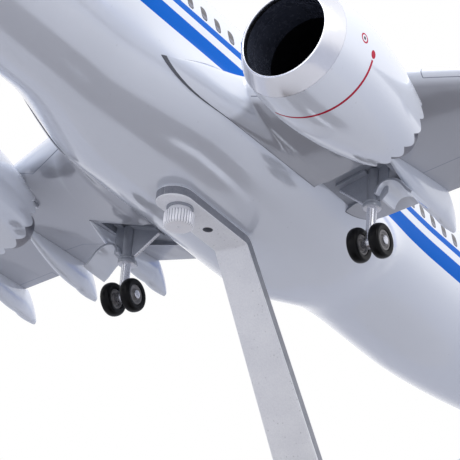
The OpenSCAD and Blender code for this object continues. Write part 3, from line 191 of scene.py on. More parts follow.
class Shell:
    """Closed skins gathered for one mesh, in millimetres; what adds a skin gives the shell back."""

    def __init__(self, side: Side | None = None, stance: Stance | None = STANCE) -> None:
        """Starts an empty shell; stance None means that points are already in the shared frame."""
        self.sign, self.stance, self.count = (side or Side.LEFT).value, stance, 0
        self.points: list[Array] = []
        self.faces: list[list[int]] = []
        self.marks: list[int] = []

    def add(self, points: Array, groups: list[tuple[Array, Array]]) -> "Shell":
        """Adds one closed skin and turns its faces outwards by the sign of its volume.

        Args:
            points: [n, 3] points as drawn for the left side.
            groups: pairs of a face array [k, corners] and the finish number of each face.
        """
        placed = points * np.array([1.0, float(self.sign), 1.0])
        if self.stance is not None:
            placed = self.stance.to_world(placed)
        centred = placed - placed.mean(0)
        volume = sum(float(np.sum(centred[faces[:, 0]] * np.cross(centred[faces[:, k]], centred[faces[:, k + 1]])))
                     for faces, _ in groups for k in range(1, faces.shape[1] - 1))
        for faces, marks in groups:
            turned = faces if volume > 0 else faces[:, ::-1]
            self.faces += (turned + self.count).tolist()
            self.marks += np.broadcast_to(marks, len(faces)).tolist()
        self.points.append(placed)
        self.count += len(placed)
        return self

    def tube(self, rings: Array, mark: int | Array = 0, cap: Cap = Cap.POLE) -> "Shell":
        """Adds a skin through rings of points, each joined round to itself and to the next.

        Args:
            rings: [rows, points, 3] points.
            mark: finish number, for all, for each band between two rings, or for each face of each band.
            cap: how the ends are closed; OPEN joins the last ring to the first.
        """
        rows, cols = rings.shape[:2]
        i = np.arange(rows if cap is Cap.OPEN else rows - 1)[:, None]
        j = np.arange(cols)[None, :]
        nxt, k = (i + 1) % rows, (j + 1) % cols
        quads = np.stack([i * cols + j, i * cols + k, nxt * cols + k, nxt * cols + j], -1).reshape(-1, 4)
        mark = np.asarray(mark)
        marks = np.broadcast_to(mark if mark.ndim == 2 else mark.reshape(-1, 1), (len(i), cols))
        groups, points = [(quads, marks.reshape(-1))], [rings.reshape(-1, 3)]
        for end, row in enumerate((0, rows - 1)):
            ring, tone = np.arange(cols) + row * cols, marks[-end, 0]
            back = ring if end else ring[::-1]
            if cap is Cap.FLAT:
                groups.append((back[None, :], np.array([tone])))
            elif cap is Cap.POLE:
                fan = np.stack([back, np.roll(back, -1), np.full(cols, rows * cols + end)], 1)
                groups.append((fan, np.full(cols, tone)))
                points.append(rings[row].mean(0)[None])
        return self.add(np.concatenate(points), groups)

    def turned(self, profile: Array, centre: Point, axis: str = "x", segments: int = 64,
               mark: int | Array = 0, closed: bool = False, forward: float = 1.0) -> "Shell":
        """Adds a solid of revolution: each [distance, radius] of the profile becomes a circle.

        Args:
            profile: [n, 2]; a closed one is a ring, an open one gets a pole at each end.
            centre: point on the axis from which distances count.
            axis: x, y or z.
            segments: points round a circle.
            mark: finish number, for all or for each band.
            closed: whether the profile's last point joins its first.
            forward: sign of the direction in which distances grow.
        """
        profile = np.asarray(profile, float)
        along = profile[:, :1] * forward
        u, v = profile[:, 1:] * np.cos(around(segments)), profile[:, 1:] * np.sin(around(segments))
        order = {"x": (along, u, v), "y": (u, along, v), "z": (u, v, along)}[axis]
        return self.tube(xyz(*order) + np.array(centre), mark, Cap.OPEN if closed else Cap.POLE)

    def plate(self, outline: Array, plane: str, low: float, high: float, edge: float = 0.15,
              front: int = 0) -> "Shell":
        """Adds a flat or bent plate: an outline carried from low to high, its rims softened by insets.

        The rim is a quarter circle: inset edge*(1-cos a), height edge*sin a, in three steps.

        Args:
            outline: closed [n, 2] outline.
            plane: the two axes it is drawn in, such as "xz".
            low: where the plate starts on the third axis.
            high: where it ends.
            edge: radius of the softened rims.
            front: finish number of the high face.
        """
        a = np.linspace(0.0, np.pi / 2, 4)
        depth = np.concatenate([low + edge * (1 - np.cos(a)), high - edge * (1 - np.cos(a[::-1]))])
        ins = edge * (1 - np.sin(np.concatenate([a, a[::-1]])))
        first, second = ("xyz".index(c) for c in plane)
        flat = np.stack([inset(np.asarray(outline, float), float(d)) for d in ins])
        rings = np.empty((*flat.shape[:2], 3))
        rings[..., first], rings[..., second] = flat[..., 0], flat[..., 1]
        rings[..., 3 - first - second] = depth[:, None]
        return self.tube(rings, np.array([0] * (len(rings) - 2) + [front]), Cap.FLAT)

    def mesh(self, name: str) -> bpy.types.Mesh:
        """Puts the gathered skins into a new mesh, in metres."""
        mesh = bpy.data.meshes.new(name)
        mesh.from_pydata((np.concatenate(self.points) * MM).tolist(), [], self.faces)
        mesh.polygons.foreach_set("material_index", np.array(self.marks, dtype=np.int32))
        mesh.update()
        return mesh


def drill(at: Point, low: float, high: float, radius: float, segments: int, mark: int = 0,
          stance: Stance | None = None) -> Shell:
    """A cylinder along Z that cuts a hole from low to high round a point, its wall in the marked finish."""
    return Shell(stance=stance).turned([[low, radius], [high, radius]], at, "z", segments, mark)


def place(name: str, data: bpy.types.ID) -> bpy.types.Object:
    """A new object in the scene."""
    made = bpy.data.objects.new(name, data)
    bpy.context.scene.collection.objects.link(made)
    return made


@dataclass
class Piece:
    """One finished piece: its skins, the node it stands for, how it is finished and what it rides on."""

    name: str
    shell: Shell
    node: str
    slot: str
    coats: tuple["Coat", ...]
    body: str = "airframe_on_stand"
    sharp_deg: float = 35.0
    cutters: tuple[Shell, ...] = ()
    made: bpy.types.Object | None = field(default=None, repr=False)

    def build(self) -> None:
        """Makes the mesh, cuts it where it has cutters, and smooths it between its sharp edges."""
        self.made = place(self.name, self.shell.mesh(self.name))
        for cutter in self.cutters:
            self._cut(cutter)
        mesh = self.made.data
        mesh.polygons.foreach_set("use_smooth", np.ones(len(mesh.polygons), dtype=bool))
        mesh.set_sharp_from_angle(angle=math.radians(self.sharp_deg))
        mesh.update()

    def _cut(self, cutter: Shell) -> None:
        """Takes a cutter's solid out of the mesh with an exact boolean, and keeps the finish numbers."""
        tool = place(self.name + "_cutter", cutter.mesh(self.name + "_cutter"))
        whole = self.made.data
        for mesh in (whole, tool.data):
            while len(mesh.materials) < FINISHES:
                mesh.materials.append(None)
        cut = self.made.modifiers.new("cut", "BOOLEAN")
        cut.operation, cut.solver, cut.object = "DIFFERENCE", "EXACT", tool
        fresh = bpy.data.meshes.new_from_object(self.made.evaluated_get(bpy.context.evaluated_depsgraph_get()))
        marks = np.empty(len(fresh.polygons), dtype=np.int32)
        fresh.polygons.foreach_get("material_index", marks)
        self.made.data = fresh
        self.made.modifiers.clear()
        fresh.materials.clear()
        fresh.polygons.foreach_set("material_index", marks)
        bpy.data.objects.remove(tool)
        bpy.data.meshes.remove(whole)

    def dress(self, rack: "FinishRack") -> None:
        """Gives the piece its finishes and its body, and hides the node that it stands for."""
        for coat in self.coats:
            self.made.data.materials.append(rack.of(coat))
        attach(self.made, self.body)
        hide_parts(self.node)
        log.info("%s: %d faces, finish %s", self.name, len(self.made.data.polygons), self.coats[0].value.name)


class Assembly:
    """A sub-assembly: subclasses hold its sizes and list its pieces."""

    side: Side | None = None

    def pieces(self) -> list[Piece]:
        """The pieces of this sub-assembly."""
        raise NotImplementedError

    def piece(self, name: str, shell: Shell, node: str, slot: str, *coats: "Coat", **more: object) -> Piece:
        """A piece named after this side, where there is one; more goes to its other fields."""
        word = self.side.word if self.side else ""
        return Piece(word + name, shell, word + node, slot, coats, **more)

    def build(self) -> list[Piece]:
        """Makes every piece's mesh and gives the pieces, ready to be dressed."""
        made = self.pieces()
        for piece in made:
            piece.build()
        return made

    @staticmethod
    def dress(pieces: list[Piece], rack: "FinishRack") -> None:
        """Finishes every piece from the rack."""
        for piece in pieces:
            piece.dress(rack)


@dataclass(frozen=True)
class Hull(Assembly):
    """Fuselage casting with the belly fairing between the wings."""

    half_w: float = 22.1
    half_h: float = 23.6
    nose_x: float = 224.0
    nose_len: float = 66.0
    nose_drop: float = 6.0
    tail_x: float = 240.0
    tail_len: float = 155.0
    tail_rise: float = 13.0
    tail_tip_r: float = 2.4
    waist_slim: float = 1.2
    waist_rise: float = 0.8
    waist_from: float = 25.0
    waist_len: float = 35.0
    belly_half_w: float = 26.9
    belly_mid_z: float = -6.0
    belly_round: float = 25.9
    belly_power: float = 2.3
    belly_depth: float = 25.6
    belly_front: float = 84.0
    belly_front_ramp: float = 40.0
    belly_rear: float = 47.0
    belly_rear_ramp: float = 24.0
    insert_x: float = 29.5
    insert_d: float = 5.0
    insert_h: float = 9.9

    @property
    def nose_from(self) -> float:
        """Station where the nose starts to close."""
        return self.nose_x - self.nose_len

    @property
    def tail_from(self) -> float:
        """Station where the tail cone starts to close."""
        return self.tail_len - self.tail_x

    def waist(self, x: Array) -> Array:
        """Share of the narrowing behind the wing: a smooth step along X."""
        return smooth((-self.waist_from - x) / self.waist_len)

    def _nose_t(self, x: Array) -> Array:
        """Distance into the nose, from 0 to 1."""
        return np.maximum(0.0, (x - self.nose_from) / self.nose_len)

    def _tail_t(self, x: Array) -> Array:
        """Distance into the tail cone, from 0 to 1."""
        return np.clip((self.tail_from - x) / self.tail_len, 0.0, 1.0)

    def _half(self, x: Array, full: float, power: float) -> Array:
        """A half axis of the section: (1 - t^2.1)^0.56 of it in the nose, a power fall in the tail cone."""
        share = np.maximum(0.0, 1 - self._nose_t(x) ** 2.1) ** 0.56
        return blend(full * share - self.waist_slim * self.waist(x), self.tail_tip_r, self._tail_t(x) ** power)

    def width(self, x: Array) -> Array:
        """Half width of the round section at station x."""
        return self._half(x, self.half_w, 1.7)

    def height(self, x: Array) -> Array:
        """Half height of the round section at station x."""
        return self._half(x, self.half_h, 1.6)

    def axis_z(self, x: Array) -> Array:
        """Height of the section's centre at station x."""
        rise = (self.tail_rise - self.waist_rise) * self._tail_t(x) ** 1.4
        return self.waist_rise * self.waist(x) + rise - self.nose_drop * self._nose_t(x) ** 2

    def _belly_r(self, a: Array) -> Array:
        """Radius of the fairing at angle a: a superellipse with a flat bottom, found by halving."""
        low, high = np.full_like(a, 15.0), np.full_like(a, 40.0)
        for _ in range(24):
            r = (low + high) / 2
            wide = np.abs(r * np.cos(a) / self.belly_half_w) ** self.belly_power
            deep = np.maximum(0.0, self.belly_mid_z - r * np.sin(a)) / (self.belly_round + self.belly_mid_z)
            inside = wide + deep ** self.belly_power < 1
            low, high = np.where(inside, r, low), np.where(inside, high, r)
        flat = self.belly_depth / np.maximum(0.01, -np.sin(a))
        return np.where(np.sin(a) >= 0, 0.0, np.minimum(low, flat))

    def skin_r(self, x: Array, a: Array) -> Array:
        """Radius of the skin at station x and angle a: an ellipse, swollen to the fairing below."""
        r = 1 / np.sqrt((np.cos(a) / self.width(x)) ** 2 + (np.sin(a) / self.height(x)) ** 2)
        along = smooth((self.belly_front - x) / self.belly_front_ramp)
        along = along * smooth((x + self.belly_rear) / self.belly_rear_ramp)
        below = np.degrees(np.arcsin(np.clip(-np.sin(a), -1, 1)))
        return r + np.maximum(0.0, self._belly_r(a) - r) * smooth((below - 8) / 22) * along

    def skin_y(self, x: Array, z: Array) -> Array:
        """Half width of the skin at station x and height z, found by repetition."""
        x, z = np.broadcast_arrays(np.asarray(x, float), np.asarray(z, float))
        up = z - self.axis_z(x)
        y = np.full(x.shape, 20.0)
        for _ in range(10):
            y = np.sqrt(np.maximum(0.01, self.skin_r(x, np.arctan2(up, y)) ** 2 - up ** 2))
        return y

    def top(self, x: Array, y: Array) -> Array:
        """Height of the crown at station x and distance y from the middle."""
        return self.axis_z(x) + self.height(x) * np.sqrt(np.maximum(0.0, 1 - (y / self.width(x)) ** 2))

    def pieces(self) -> list[Piece]:
        """The hull: stations closer together in the nose, the skin radius at each angle."""
        nose = self.nose_from + self.nose_len * swell(np.linspace(0.02, 1.0, 44)) * 0.9985
        tail = self.tail_from - self.tail_len * np.linspace(1.0, 0.0, 64)
        x = np.concatenate([tail, np.linspace(self.tail_from, self.nose_from, 110)[1:], nose])[:, None]
        a = around(144)
        r = self.skin_r(x, a)
        shell = Shell().tube(xyz(x, r * np.cos(a), self.axis_z(x) + r * np.sin(a)))
        bore = drill((self.insert_x, 0.0, -self.belly_depth), -1.0, self.insert_h, self.insert_d / 2, 48, 1, STANCE)
        return [self.piece("hull_casting", shell, "fuselage", "lacquer", Coat.HULL, Coat.SHADOW, sharp_deg=50,
                           cutters=(bore,))]


HULL = Hull()


@dataclass(frozen=True)
class Foil:
    """A wing section with a blunt trailing edge."""

    half: int = 36
    te_thick: float = 0.7

    def share(self, u: Array) -> Array:
        """Half thickness at chord position u, from 0 at the nose to a peak of 1 (a classic polynomial)."""
        return 10 * (0.2969 * np.sqrt(u) - 0.126 * u - 0.3516 * u ** 2 + 0.2843 * u ** 3 - 0.1036 * u ** 4)

    def chord(self) -> tuple[Array, Array, Array]:
        """Of each point of a ring: chord position, 1 above or -1 below, and 1 in the middle of the trailing edge."""
        i = np.arange(2 * self.half)
        near = np.minimum(i, 2 * self.half - i)
        u = np.where(i == self.half, 1.0, (1 - np.cos(np.pi * near / (self.half - 1))) / 2)
        side = np.where((i == 0) | (i == self.half), 0, np.where(i < self.half, 1, -1))
        return u, side, (i == self.half).astype(float)

    def ring(self, xl: Array, zl: Array, xt: Array, zt: Array, up: Array, down: Array) -> tuple[Array, Array]:
        """X and Z of sections between leading and trailing points, with half thicknesses up and down."""
        u, side, mid = self.chord()
        h = np.where(side > 0, up, down)
        x = blend(xl, xt, u) - mid * self.te_thick / 4
        return x, blend(zl, zt, u) + side * (h * self.share(u) * (1 - 0.02 * u) + self.te_thick / 2 * u)


@dataclass(frozen=True)
class Wing(Assembly):
    """One wing with its root fillet, wheel bay, winglet and flap track fairings."""

    side: Side = Side.LEFT
    foil: Foil = Foil()
    half_span: float = 199.5
    root_y: float = 24.1
    le_root: float = 47.6
    le_sweep: float = 30.5
    glove_tip_x: float = 71.0
    glove_tip_z: float = -12.7
    root_rise: float = 8.9
    root_drop: float = 4.7
    fillet_power: float = 2.5
    te_root: float = 20.0
    kink_y: float = 65.0
    te_sweep: float = 21.3
    le_z: float = -8.6
    le_kink_z: float = -2.4
    te_z: float = -13.2
    te_kink_z: float = -6.4
    dihedral: float = 6.2
    root_up: float = 6.2
    root_down: float = 7.5
    kink_up: float = 2.8
    kink_down: float = 2.6
    tip_half: float = 0.95
    first_row: float = 28.0
    seam_gap: float = 0.16
    bay_front: float = 6.8
    bay_rear: float = 8.0
    bay_outer_y: float = 41.7
    bay_roof_z: float = -15.05
    bay_slope: float = 17.0
    bay_depth: float = 12.0
    winglet_h: float = 27.0
    winglet_cant: float = 15.0
    winglet_tip: float = 7.0
    fairing_y: Point = (44.5, 69.0, 99.0)
    fairing_w: float = 5.4
    fairing_len: float = 36.0
    fairing_tail: float = 8.0
    fairing_droop: float = 0.75
    fairing_depth: float = 6.6
    fairing_round: float = 0.7

    def leading(self, y: Array) -> Array:
        """Station of the leading edge, a straight sweep."""
        return self.le_root - tan(self.le_sweep) * (y - self.root_y)

    def trailing(self, y: Array) -> Array:
        """Station of the trailing edge, straight to the kink and then swept."""
        return -self.te_root - tan(self.te_sweep) * np.maximum(0, y - self.kink_y)

    def _kinked(self, y: Array, root: float, kink: float, tip: float, power: float = 1.0) -> Array:
        """A value at distance y: the root's excess fades as (1-t)^power to the kink, then straight to the tip."""
        inner = blend(kink, root, (1 - way(y, self.root_y, self.kink_y)) ** power)
        return np.where(y < self.kink_y, inner, blend(kink, tip, way(y, self.kink_y, self.half_span)))

    @property
    def tip_z(self) -> float:
        """Height of the tip, by the dihedral outboard of the kink."""
        return self.le_kink_z + tan(self.dihedral) * (self.half_span - self.kink_y)

    def leading_z(self, y: Array) -> Array:
        """Height of the leading edge."""
        return self._kinked(y, self.le_z, self.le_kink_z, self.tip_z)

    def trailing_z(self, y: Array) -> Array:
        """Height of the trailing edge."""
        return self._kinked(y, self.te_z, self.te_kink_z, self.tip_z)

    def _up(self, y: Array) -> Array:
        """Half thickness of the upper side."""
        return self._kinked(y, self.root_up, self.kink_up, self.tip_half, 1.6)

    def _down(self, y: Array) -> Array:
        """Half thickness of the lower side."""
        return self._kinked(y, self.root_down, self.kink_down, self.tip_half, 1.6)

    def section(self, y: Array) -> tuple[Array, Array]:
        """X and Z of the wing's sections at distances y, which is [rows, 1]."""
        return self.foil.ring(self.leading(y), self.leading_z(y), self.trailing(y), self.trailing_z(y),
                              self._up(y), self._down(y))

    def underside(self, x: Array, y: Array) -> Array:
        """Height of the wing's lower skin."""
        u = way(x, self.leading(y), self.trailing(y))
        depth = self._down(y) * self.foil.share(u) + self.foil.te_thick / 2 * u
        return blend(self.leading_z(y), self.trailing_z(y), u) - depth

    def _root(self) -> tuple[Array, Array]:
        """X and Z of the root seam: a pointed front tip, a rounded crown and a falling rear."""
        u, side, mid = self.foil.chord()
        up = self.glove_tip_z + self.root_rise * swell(u / 0.36, 1.4)
        up = up - self.root_rise * np.maximum(0, (u - 0.45) / 0.55) ** 1.7
        low = self.glove_tip_z - self.root_drop * (1 - (1 - np.minimum(1, u / 0.28)) ** 2.6)
        low = low + np.maximum(0, (u - 0.28) / 0.59)
        low = low + (self.root_drop - 1.7) * np.maximum(0, (u - 0.86) / 0.14) ** 2
        low = np.minimum(up - self.foil.te_thick * u, low)
        z = np.where(side > 0, up, np.where(mid > 0, (up + low) / 2, low))
        z = np.where((side == 0) & (mid == 0), self.glove_tip_z, z)
        return blend(self.glove_tip_x, -self.te_root, u) - mid * self.foil.te_thick / 4, z

    def bay_roof(self, y: Array) -> Array:
        """Height of the wheel bay's roof, which slopes with the wing."""
        return self.bay_roof_z + tan(self.bay_slope) * (y - self.root_y)

    def _bay(self) -> Shell:
        """The cutter of the wheel bay: a box under the sloping roof."""
        y = np.array([self.root_y - 3, self.bay_outer_y])
        roof = np.stack([y, self.bay_roof(y)], 1)
        outline = np.concatenate([roof, (roof - [0, self.bay_depth])[::-1]])
        rings = [xyz(x, outline[:, 0], outline[:, 1]) for x in (-self.bay_rear, self.bay_front)]
        return Shell(self.side).tube(np.stack(rings), 2, Cap.FLAT)

    def panel(self) -> Piece:
        """The wing itself.

        The root ring lies a hair off the hull's skin; between it and the first full section each point
        moves by w in Y and by 1-(1-w)^power in X and Z, which draws the fillet in.
        """
        xs, zs = self._root()
        nx, nz = (v[0] for v in self.section(np.array([[self.first_row]])))
        w = np.concatenate([[0.0, 0.02], np.linspace(0, 1, 18)[1:-1]])[:, None]
        f = 1 - (1 - w) ** self.fillet_power
        x, z = blend(xs, nx, f), blend(zs, nz, f)
        fillet = xyz(x, blend(HULL.skin_y(x, z) + self.seam_gap, self.first_row, w), z)
        rows = np.concatenate([np.linspace(self.first_row, self.kink_y, 26),
                               np.linspace(self.kink_y, self.half_span, 40)[1:]])[:, None]
        x, z = self.section(rows)
        middle = (zs + zs[(-np.arange(len(zs))) % len(zs)]) / 2
        sunk = [xyz(xs, HULL.skin_y(xs, h) - d, h)
                for h, d in ((blend(zs, middle, 0.6), 1.2), (blend(zs, middle, 0.16), 0.5))]
        rings = np.concatenate([sunk, fillet, xyz(x, rows, z)])
        shell = Shell(self.side).tube(rings, np.where(np.arange(len(rings) - 1) < 3, 1, 0))
        return self.piece("wing_panel", shell, "wing", "lacquer", Coat.WING, Coat.SHADOW, Coat.SHEET, sharp_deg=42,
                          cutters=(self._bay(),))

    def winglet(self) -> Piece:
        """The blended winglet: the tip section shrinks, slides back and turns upright as t goes to 1."""
        tip_x, tip_z = (v[0] for v in self.section(np.array([[self.half_span]])))
        xl, xt, zl = (edge(self.half_span) for edge in (self.leading, self.trailing, self.leading_z))
        t = np.linspace(0, 1, 36)[:, None]
        bend = np.radians(90 - self.winglet_cant) * smooth(t * 1.6)
        out = self.half_span + 0.01 + self.winglet_h * (0.27 * (1 - np.cos(np.pi / 2 * t)) + 0.22 * t)
        back = self.winglet_h * 0.75 * t ** 1.2 + (xl - tip_x) / (xl - xt) * blend(xl - xt, self.winglet_tip, t)
        h = (tip_z - zl) * (1 - 0.35 * t)
        rings = xyz(xl - back, out - h * np.sin(bend), zl + self.winglet_h * t ** 1.5 + h * np.cos(bend))
        return self.piece("winglet_skin", Shell(self.side).tube(rings), "winglet", "lacquer", Coat.LACQUER,
                          sharp_deg=42)

    def fairings(self) -> Piece:
        """Three boat-shaped fairings: depth and width swell as sines to the trailing edge, then fade."""
        shell = Shell(self.side)
        t = np.minimum(np.linspace(0, 1, 44)[:, None] ** 0.85, 1)
        a = around(40) + np.pi / 2
        for y in self.fairing_y:
            te = self.trailing(y)
            tail = te - self.fairing_tail
            nose = tail + self.fairing_len
            deepest = (nose - te) / self.fairing_len
            x = blend(nose, tail, t)
            past = np.maximum(0, (t - deepest) / (1 - deepest))
            top = np.where(x > te, self.underside(x, y), self.underside(te, y) - self.fairing_droop * (te - x))
            depth = blend(self.fairing_depth * swell(t / deepest), self.fairing_round, past ** 1.2) + 0.2
            half_w = self.fairing_w / 2 * swell(0.03 + t / deepest, 0.8) * (1 - 0.75 * past ** 2)
            yy = y + half_w * np.cos(a)
            drop = np.where(np.sin(a) > 0, self.fairing_round * past, depth) * np.sin(a)
            z = np.where((np.sin(a) > 0) & (x > te), self.underside(x, yy) - 0.02, top - 0.02 + drop)
            shell.tube(xyz(x, yy, z))
        return self.piece("fairings", shell, "flap_fairings", "lacquer", Coat.LACQUER, sharp_deg=48)

    def pieces(self) -> list[Piece]:
        """The wing panel, its winglet and its fairings."""
        return [self.panel(), self.winglet(), self.fairings()]


@dataclass(frozen=True)
class Tail(Assembly):
    """Fin and tailplanes."""

    foil: Foil = Foil()
    fin_le_x: float = 166.0
    fin_top: float = 100.0
    fin_root: float = 60.0
    fin_tip: float = 21.0
    fin_sweep: float = 36.0
    fin_half_t: float = 2.6
    plane_le_x: float = 187.0
    plane_span: float = 84.0
    plane_root: float = 41.0
    plane_tip: float = 17.0
    plane_sweep: float = 35.0
    plane_dihedral: float = 7.0
    plane_z: float = 10.0
    plane_half_t: float = 2.3

    def fin(self) -> Piece:
        """The fin: sections stacked from the crown to the tip, with a swept fillet at the foot."""
        root_z = HULL.top(-self.fin_le_x, 0.0)
        t = np.linspace(0, 1, 48)[:, None]
        z = blend(root_z, self.fin_top, t)
        front = -self.fin_le_x - tan(self.fin_sweep) * (z - root_z)
        u, side, mid = self.foil.chord()
        x = blend(front + 16 * (1 - t) ** 8, front - blend(self.fin_root, self.fin_tip, t), u)
        x = x - mid * self.foil.te_thick / 4
        y = side * (self.fin_half_t * blend(1, 0.45, t) * self.foil.share(u) + self.foil.te_thick / 2 * u)
        crown = HULL.top(x, y)
        z = np.where(t == 0, crown - 0.3, np.maximum(z, crown + 0.3))
        return self.piece("fin_skin", Shell().tube(xyz(x, y, z)), "fin", "lacquer", Coat.TAIL, sharp_deg=42)

    def plane(self, side: Side) -> Piece:
        """One tailplane: sections from the hull's skin to the tip."""
        y0 = float(HULL.skin_y(-self.plane_le_x, self.plane_z))
        dist = np.concatenate([[0], np.linspace(1.5, self.plane_span - y0, 44)])[:, None]
        t = dist / (self.plane_span - y0)
        xl = -self.plane_le_x - tan(self.plane_sweep) * dist
        zc = self.plane_z + tan(self.plane_dihedral) * dist
        h = self.plane_half_t * blend(1, 0.42, t)
        x, z = self.foil.ring(xl, zc, xl - blend(self.plane_root, self.plane_tip, t), zc, h, h)
        skin = HULL.skin_y(x, z) + 0.05
        y = blend(skin + dist * 0.6, y0 + dist, smooth(dist / 14))
        rings = xyz(x, np.maximum(y, np.where(dist > 0, 0, skin)), z)
        return Piece(side.word + "tailplane_skin", Shell(side).tube(rings), side.word + "tailplane", "lacquer",
                     (Coat.TAIL,), sharp_deg=42)

    def pieces(self) -> list[Piece]:
        """The fin and both tailplanes."""
        return [self.fin(), *(self.plane(side) for side in Side)]


@dataclass(frozen=True)
class Engine(Assembly):
    """One engine: nacelle with scalloped nozzle, polished lip, fan, core nozzle, plug and pylon."""

    side: Side = Side.LEFT
    wing: Wing = Wing()
    y: float = 56.8
    z: float = -18.5
    front: float = 74.4
    nacelle_r: float = 15.1
    mid: float = 16.5
    length: float = 46.0
    nozzle_r: float = 10.6
    wall: float = 0.8
    chevrons: int = 18
    chevron_depth: float = 2.6
    lip_r: float = 11.2
    cowl_front_r: float = 12.2
    lip_len: float = 4.5
    lip_nose: float = 1.4
    throat_r: float = 10.6
    duct_r: float = 10.2
    fan_depth: float = 17.0
    recess_from: float = 11.2
    blades: int = 18
    fan_len: float = 3.2
    fan_gap: float = 0.4
    hub_r: float = 3.0
    spinner_len: float = 4.6
    shaft_d: float = 1.8
    shaft_fit: float = 0.05
    bulkhead_t: float = 3.0
    core_r: float = 5.2
    core_reach: float = 7.0
    core_wall: float = 0.7
    plug_r: float = 3.2
    plug_reach: float = 5.0
    pylon_w: float = 3.6
    pylon_front: float = 14.0
    pylon_rear: float = 15.0

    def cowl_r(self, s: Array) -> Array:
        """Radius of the nacelle: a power of a sine to its widest ring, then a power fall to the nozzle."""
        behind = way(s, self.mid, self.length) ** 1.75
        return np.where(s < self.mid, blend(self.cowl_front_r, self.nacelle_r, swell(s / self.mid, 0.6)),
                        blend(self.nacelle_r, self.nozzle_r, behind))

    def _turned(self, line: Array, segments: int, mark: int | Array = 0, closed: bool = False) -> Shell:
        """A solid turned round the engine: each [distance behind the intake's front, radius] becomes a circle."""
        return Shell(self.side).turned(line, (self.front, self.y, self.z), "x", segments, mark, closed, -1.0)

    def nacelle(self) -> Piece:
        """The nacelle: a closed ring of outer skin, wavy nozzle edge, bypass duct, bulkhead and fan duct.

        Its rear edge at angle a is length - depth * (1 - |cos(n a / 2)|), so the chevrons have round
        tips and sharp notches. Only the last stretch of each skin moves with it.
        """
        a = around(self.chevrons * 12)
        wave = self.chevron_depth * (1 - np.abs(np.cos(self.chevrons * a / 2)))
        seam = self.lip_len + 0.03
        out_s = np.linspace(seam, self.length, 60)
        in_s = np.linspace(self.length, self.length - 14, 14)
        bulk = self.fan_depth + self.fan_len + 0.6
        back, shaft_r, bypass = bulk + self.bulkhead_t, self.shaft_d / 2, self.nozzle_r - self.wall
        rest = rounded([[self.length - 15, bypass + 0.6], [back, self.duct_r], [back, shaft_r], [bulk, shaft_r],
                        [bulk, self.duct_r], [self.fan_depth - 6, self.duct_r], [seam, self.throat_r]], 0.25, 4)
        in_r = blend(bypass, bypass + 0.6, (self.length - in_s) / 14)
        r = np.concatenate([self.cowl_r(out_s), in_r, rest[:, 1]])[:, None]
        skins = np.concatenate([out_s, in_s])
        moved = np.concatenate([smooth((skins - self.length + 9) / 9), np.zeros(len(rest))])[:, None]
        s = np.concatenate([skins, rest[:, 0]])[:, None] - wave * moved
        row = np.arange(len(s))
        r_here = np.where(row[:, None] < len(out_s), self.cowl_r(s), r)
        rings = xyz(self.front - s, self.y + r_here * np.cos(a), self.z + r_here * np.sin(a))
        inside = (row > len(skins)) & (s[:, 0] < back - 0.3)
        # Inside the intake the duct wall takes the dark duct finish up to recess_from; deeper in, the duct, the
        # bulkhead and the shaft are painted near-black: painted shade.
        marks = np.where(inside, np.where(s[:, 0] < self.recess_from, 1, 2), 0)
        return self.piece("nacelle_cowl", Shell(self.side).tube(rings, marks, Cap.OPEN), "nacelle", "lacquer",
                          Coat.COWL, Coat.DUCT, Coat.RECESS, sharp_deg=40)

    def lip(self) -> Piece:
        """The polished lip: a rounded nose, a slanted face that turns into the cowl, the throat inside.

        The outer radius goes from the lip's to the cowl's as t^0.85 over the lip's length.
        """
        a = np.linspace(np.pi / 2, 0, 14)
        half, middle = (self.lip_r - self.throat_r) / 2, (self.throat_r + self.lip_r) / 2
        nose = np.stack([self.lip_nose * (1 - np.sin(a)), middle - half * np.cos(a)], 1)[::-1]
        t = np.linspace(0, 1, 30)[1:] ** 1.3
        cowl = float(self.cowl_r(self.lip_len))
        outer = np.stack([self.lip_len * t, blend(self.lip_r, cowl, t ** 0.85)], 1)
        seam = [[self.lip_len + 0.02, cowl - 0.35], [self.lip_len, self.throat_r + 0.05]]
        line = np.concatenate([outer, seam, [[3.4, self.throat_r], [2.2, self.throat_r]], nose])
        row = np.arange(len(line)) - len(outer)
        return self.piece("lip_ring", self._turned(line, 160, np.where((row > 0) & (row < 4), 1, 0), True),
                          "intake_lip", "intake_chrome", Coat.CHROME, Coat.DUCT, sharp_deg=50)

    def fan(self) -> Piece:
        """The fan: a hub with a pointed spinner, and twisted blades of lens section."""
        back, tip = self.fan_depth + self.fan_len, self.fan_depth - self.spinner_len
        shaft_r = self.shaft_d / 2 - self.shaft_fit
        shell = self._turned(rounded(
            [[tip, 0.04], [tip + 0.5, 0.8], [self.fan_depth - self.spinner_len / 2, self.hub_r * 0.66],
             [self.fan_depth, self.hub_r], [back, self.hub_r], [back, shaft_r], [back + self.bulkhead_t, shaft_r]],
            0.8, 6), 64)
        t, c = np.linspace(0, 1, 12)[:, None], around(16)
        radius = blend(self.hub_r - 0.3, self.duct_r - self.fan_gap, t)
        twist = np.radians(blend(24.0, 46.0, t))
        chord = blend(1.4, 1.5, t) * np.cos(c)
        thick = blend(0.34, 0.16, t) * np.sin(c) + 0.25 * np.cos(c) ** 2
        along = chord * np.cos(twist) - thick * np.sin(twist)
        across = (chord * np.sin(twist) + thick * np.cos(twist)) / radius
        middle = self.front - self.fan_depth - self.fan_len / 2
        for k in range(self.blades):
            a = 2 * np.pi * k / self.blades + across
            shell.tube(xyz(middle - along, self.y + radius * np.cos(a), self.z + radius * np.sin(a)))
        # The fan is finished near-black: painted shade, as it sits deep in the intake.
        return self.piece("fan_disc", shell, "fan", "engine_metal", Coat.RECESS, body=self.side.word + "fan_rotor")

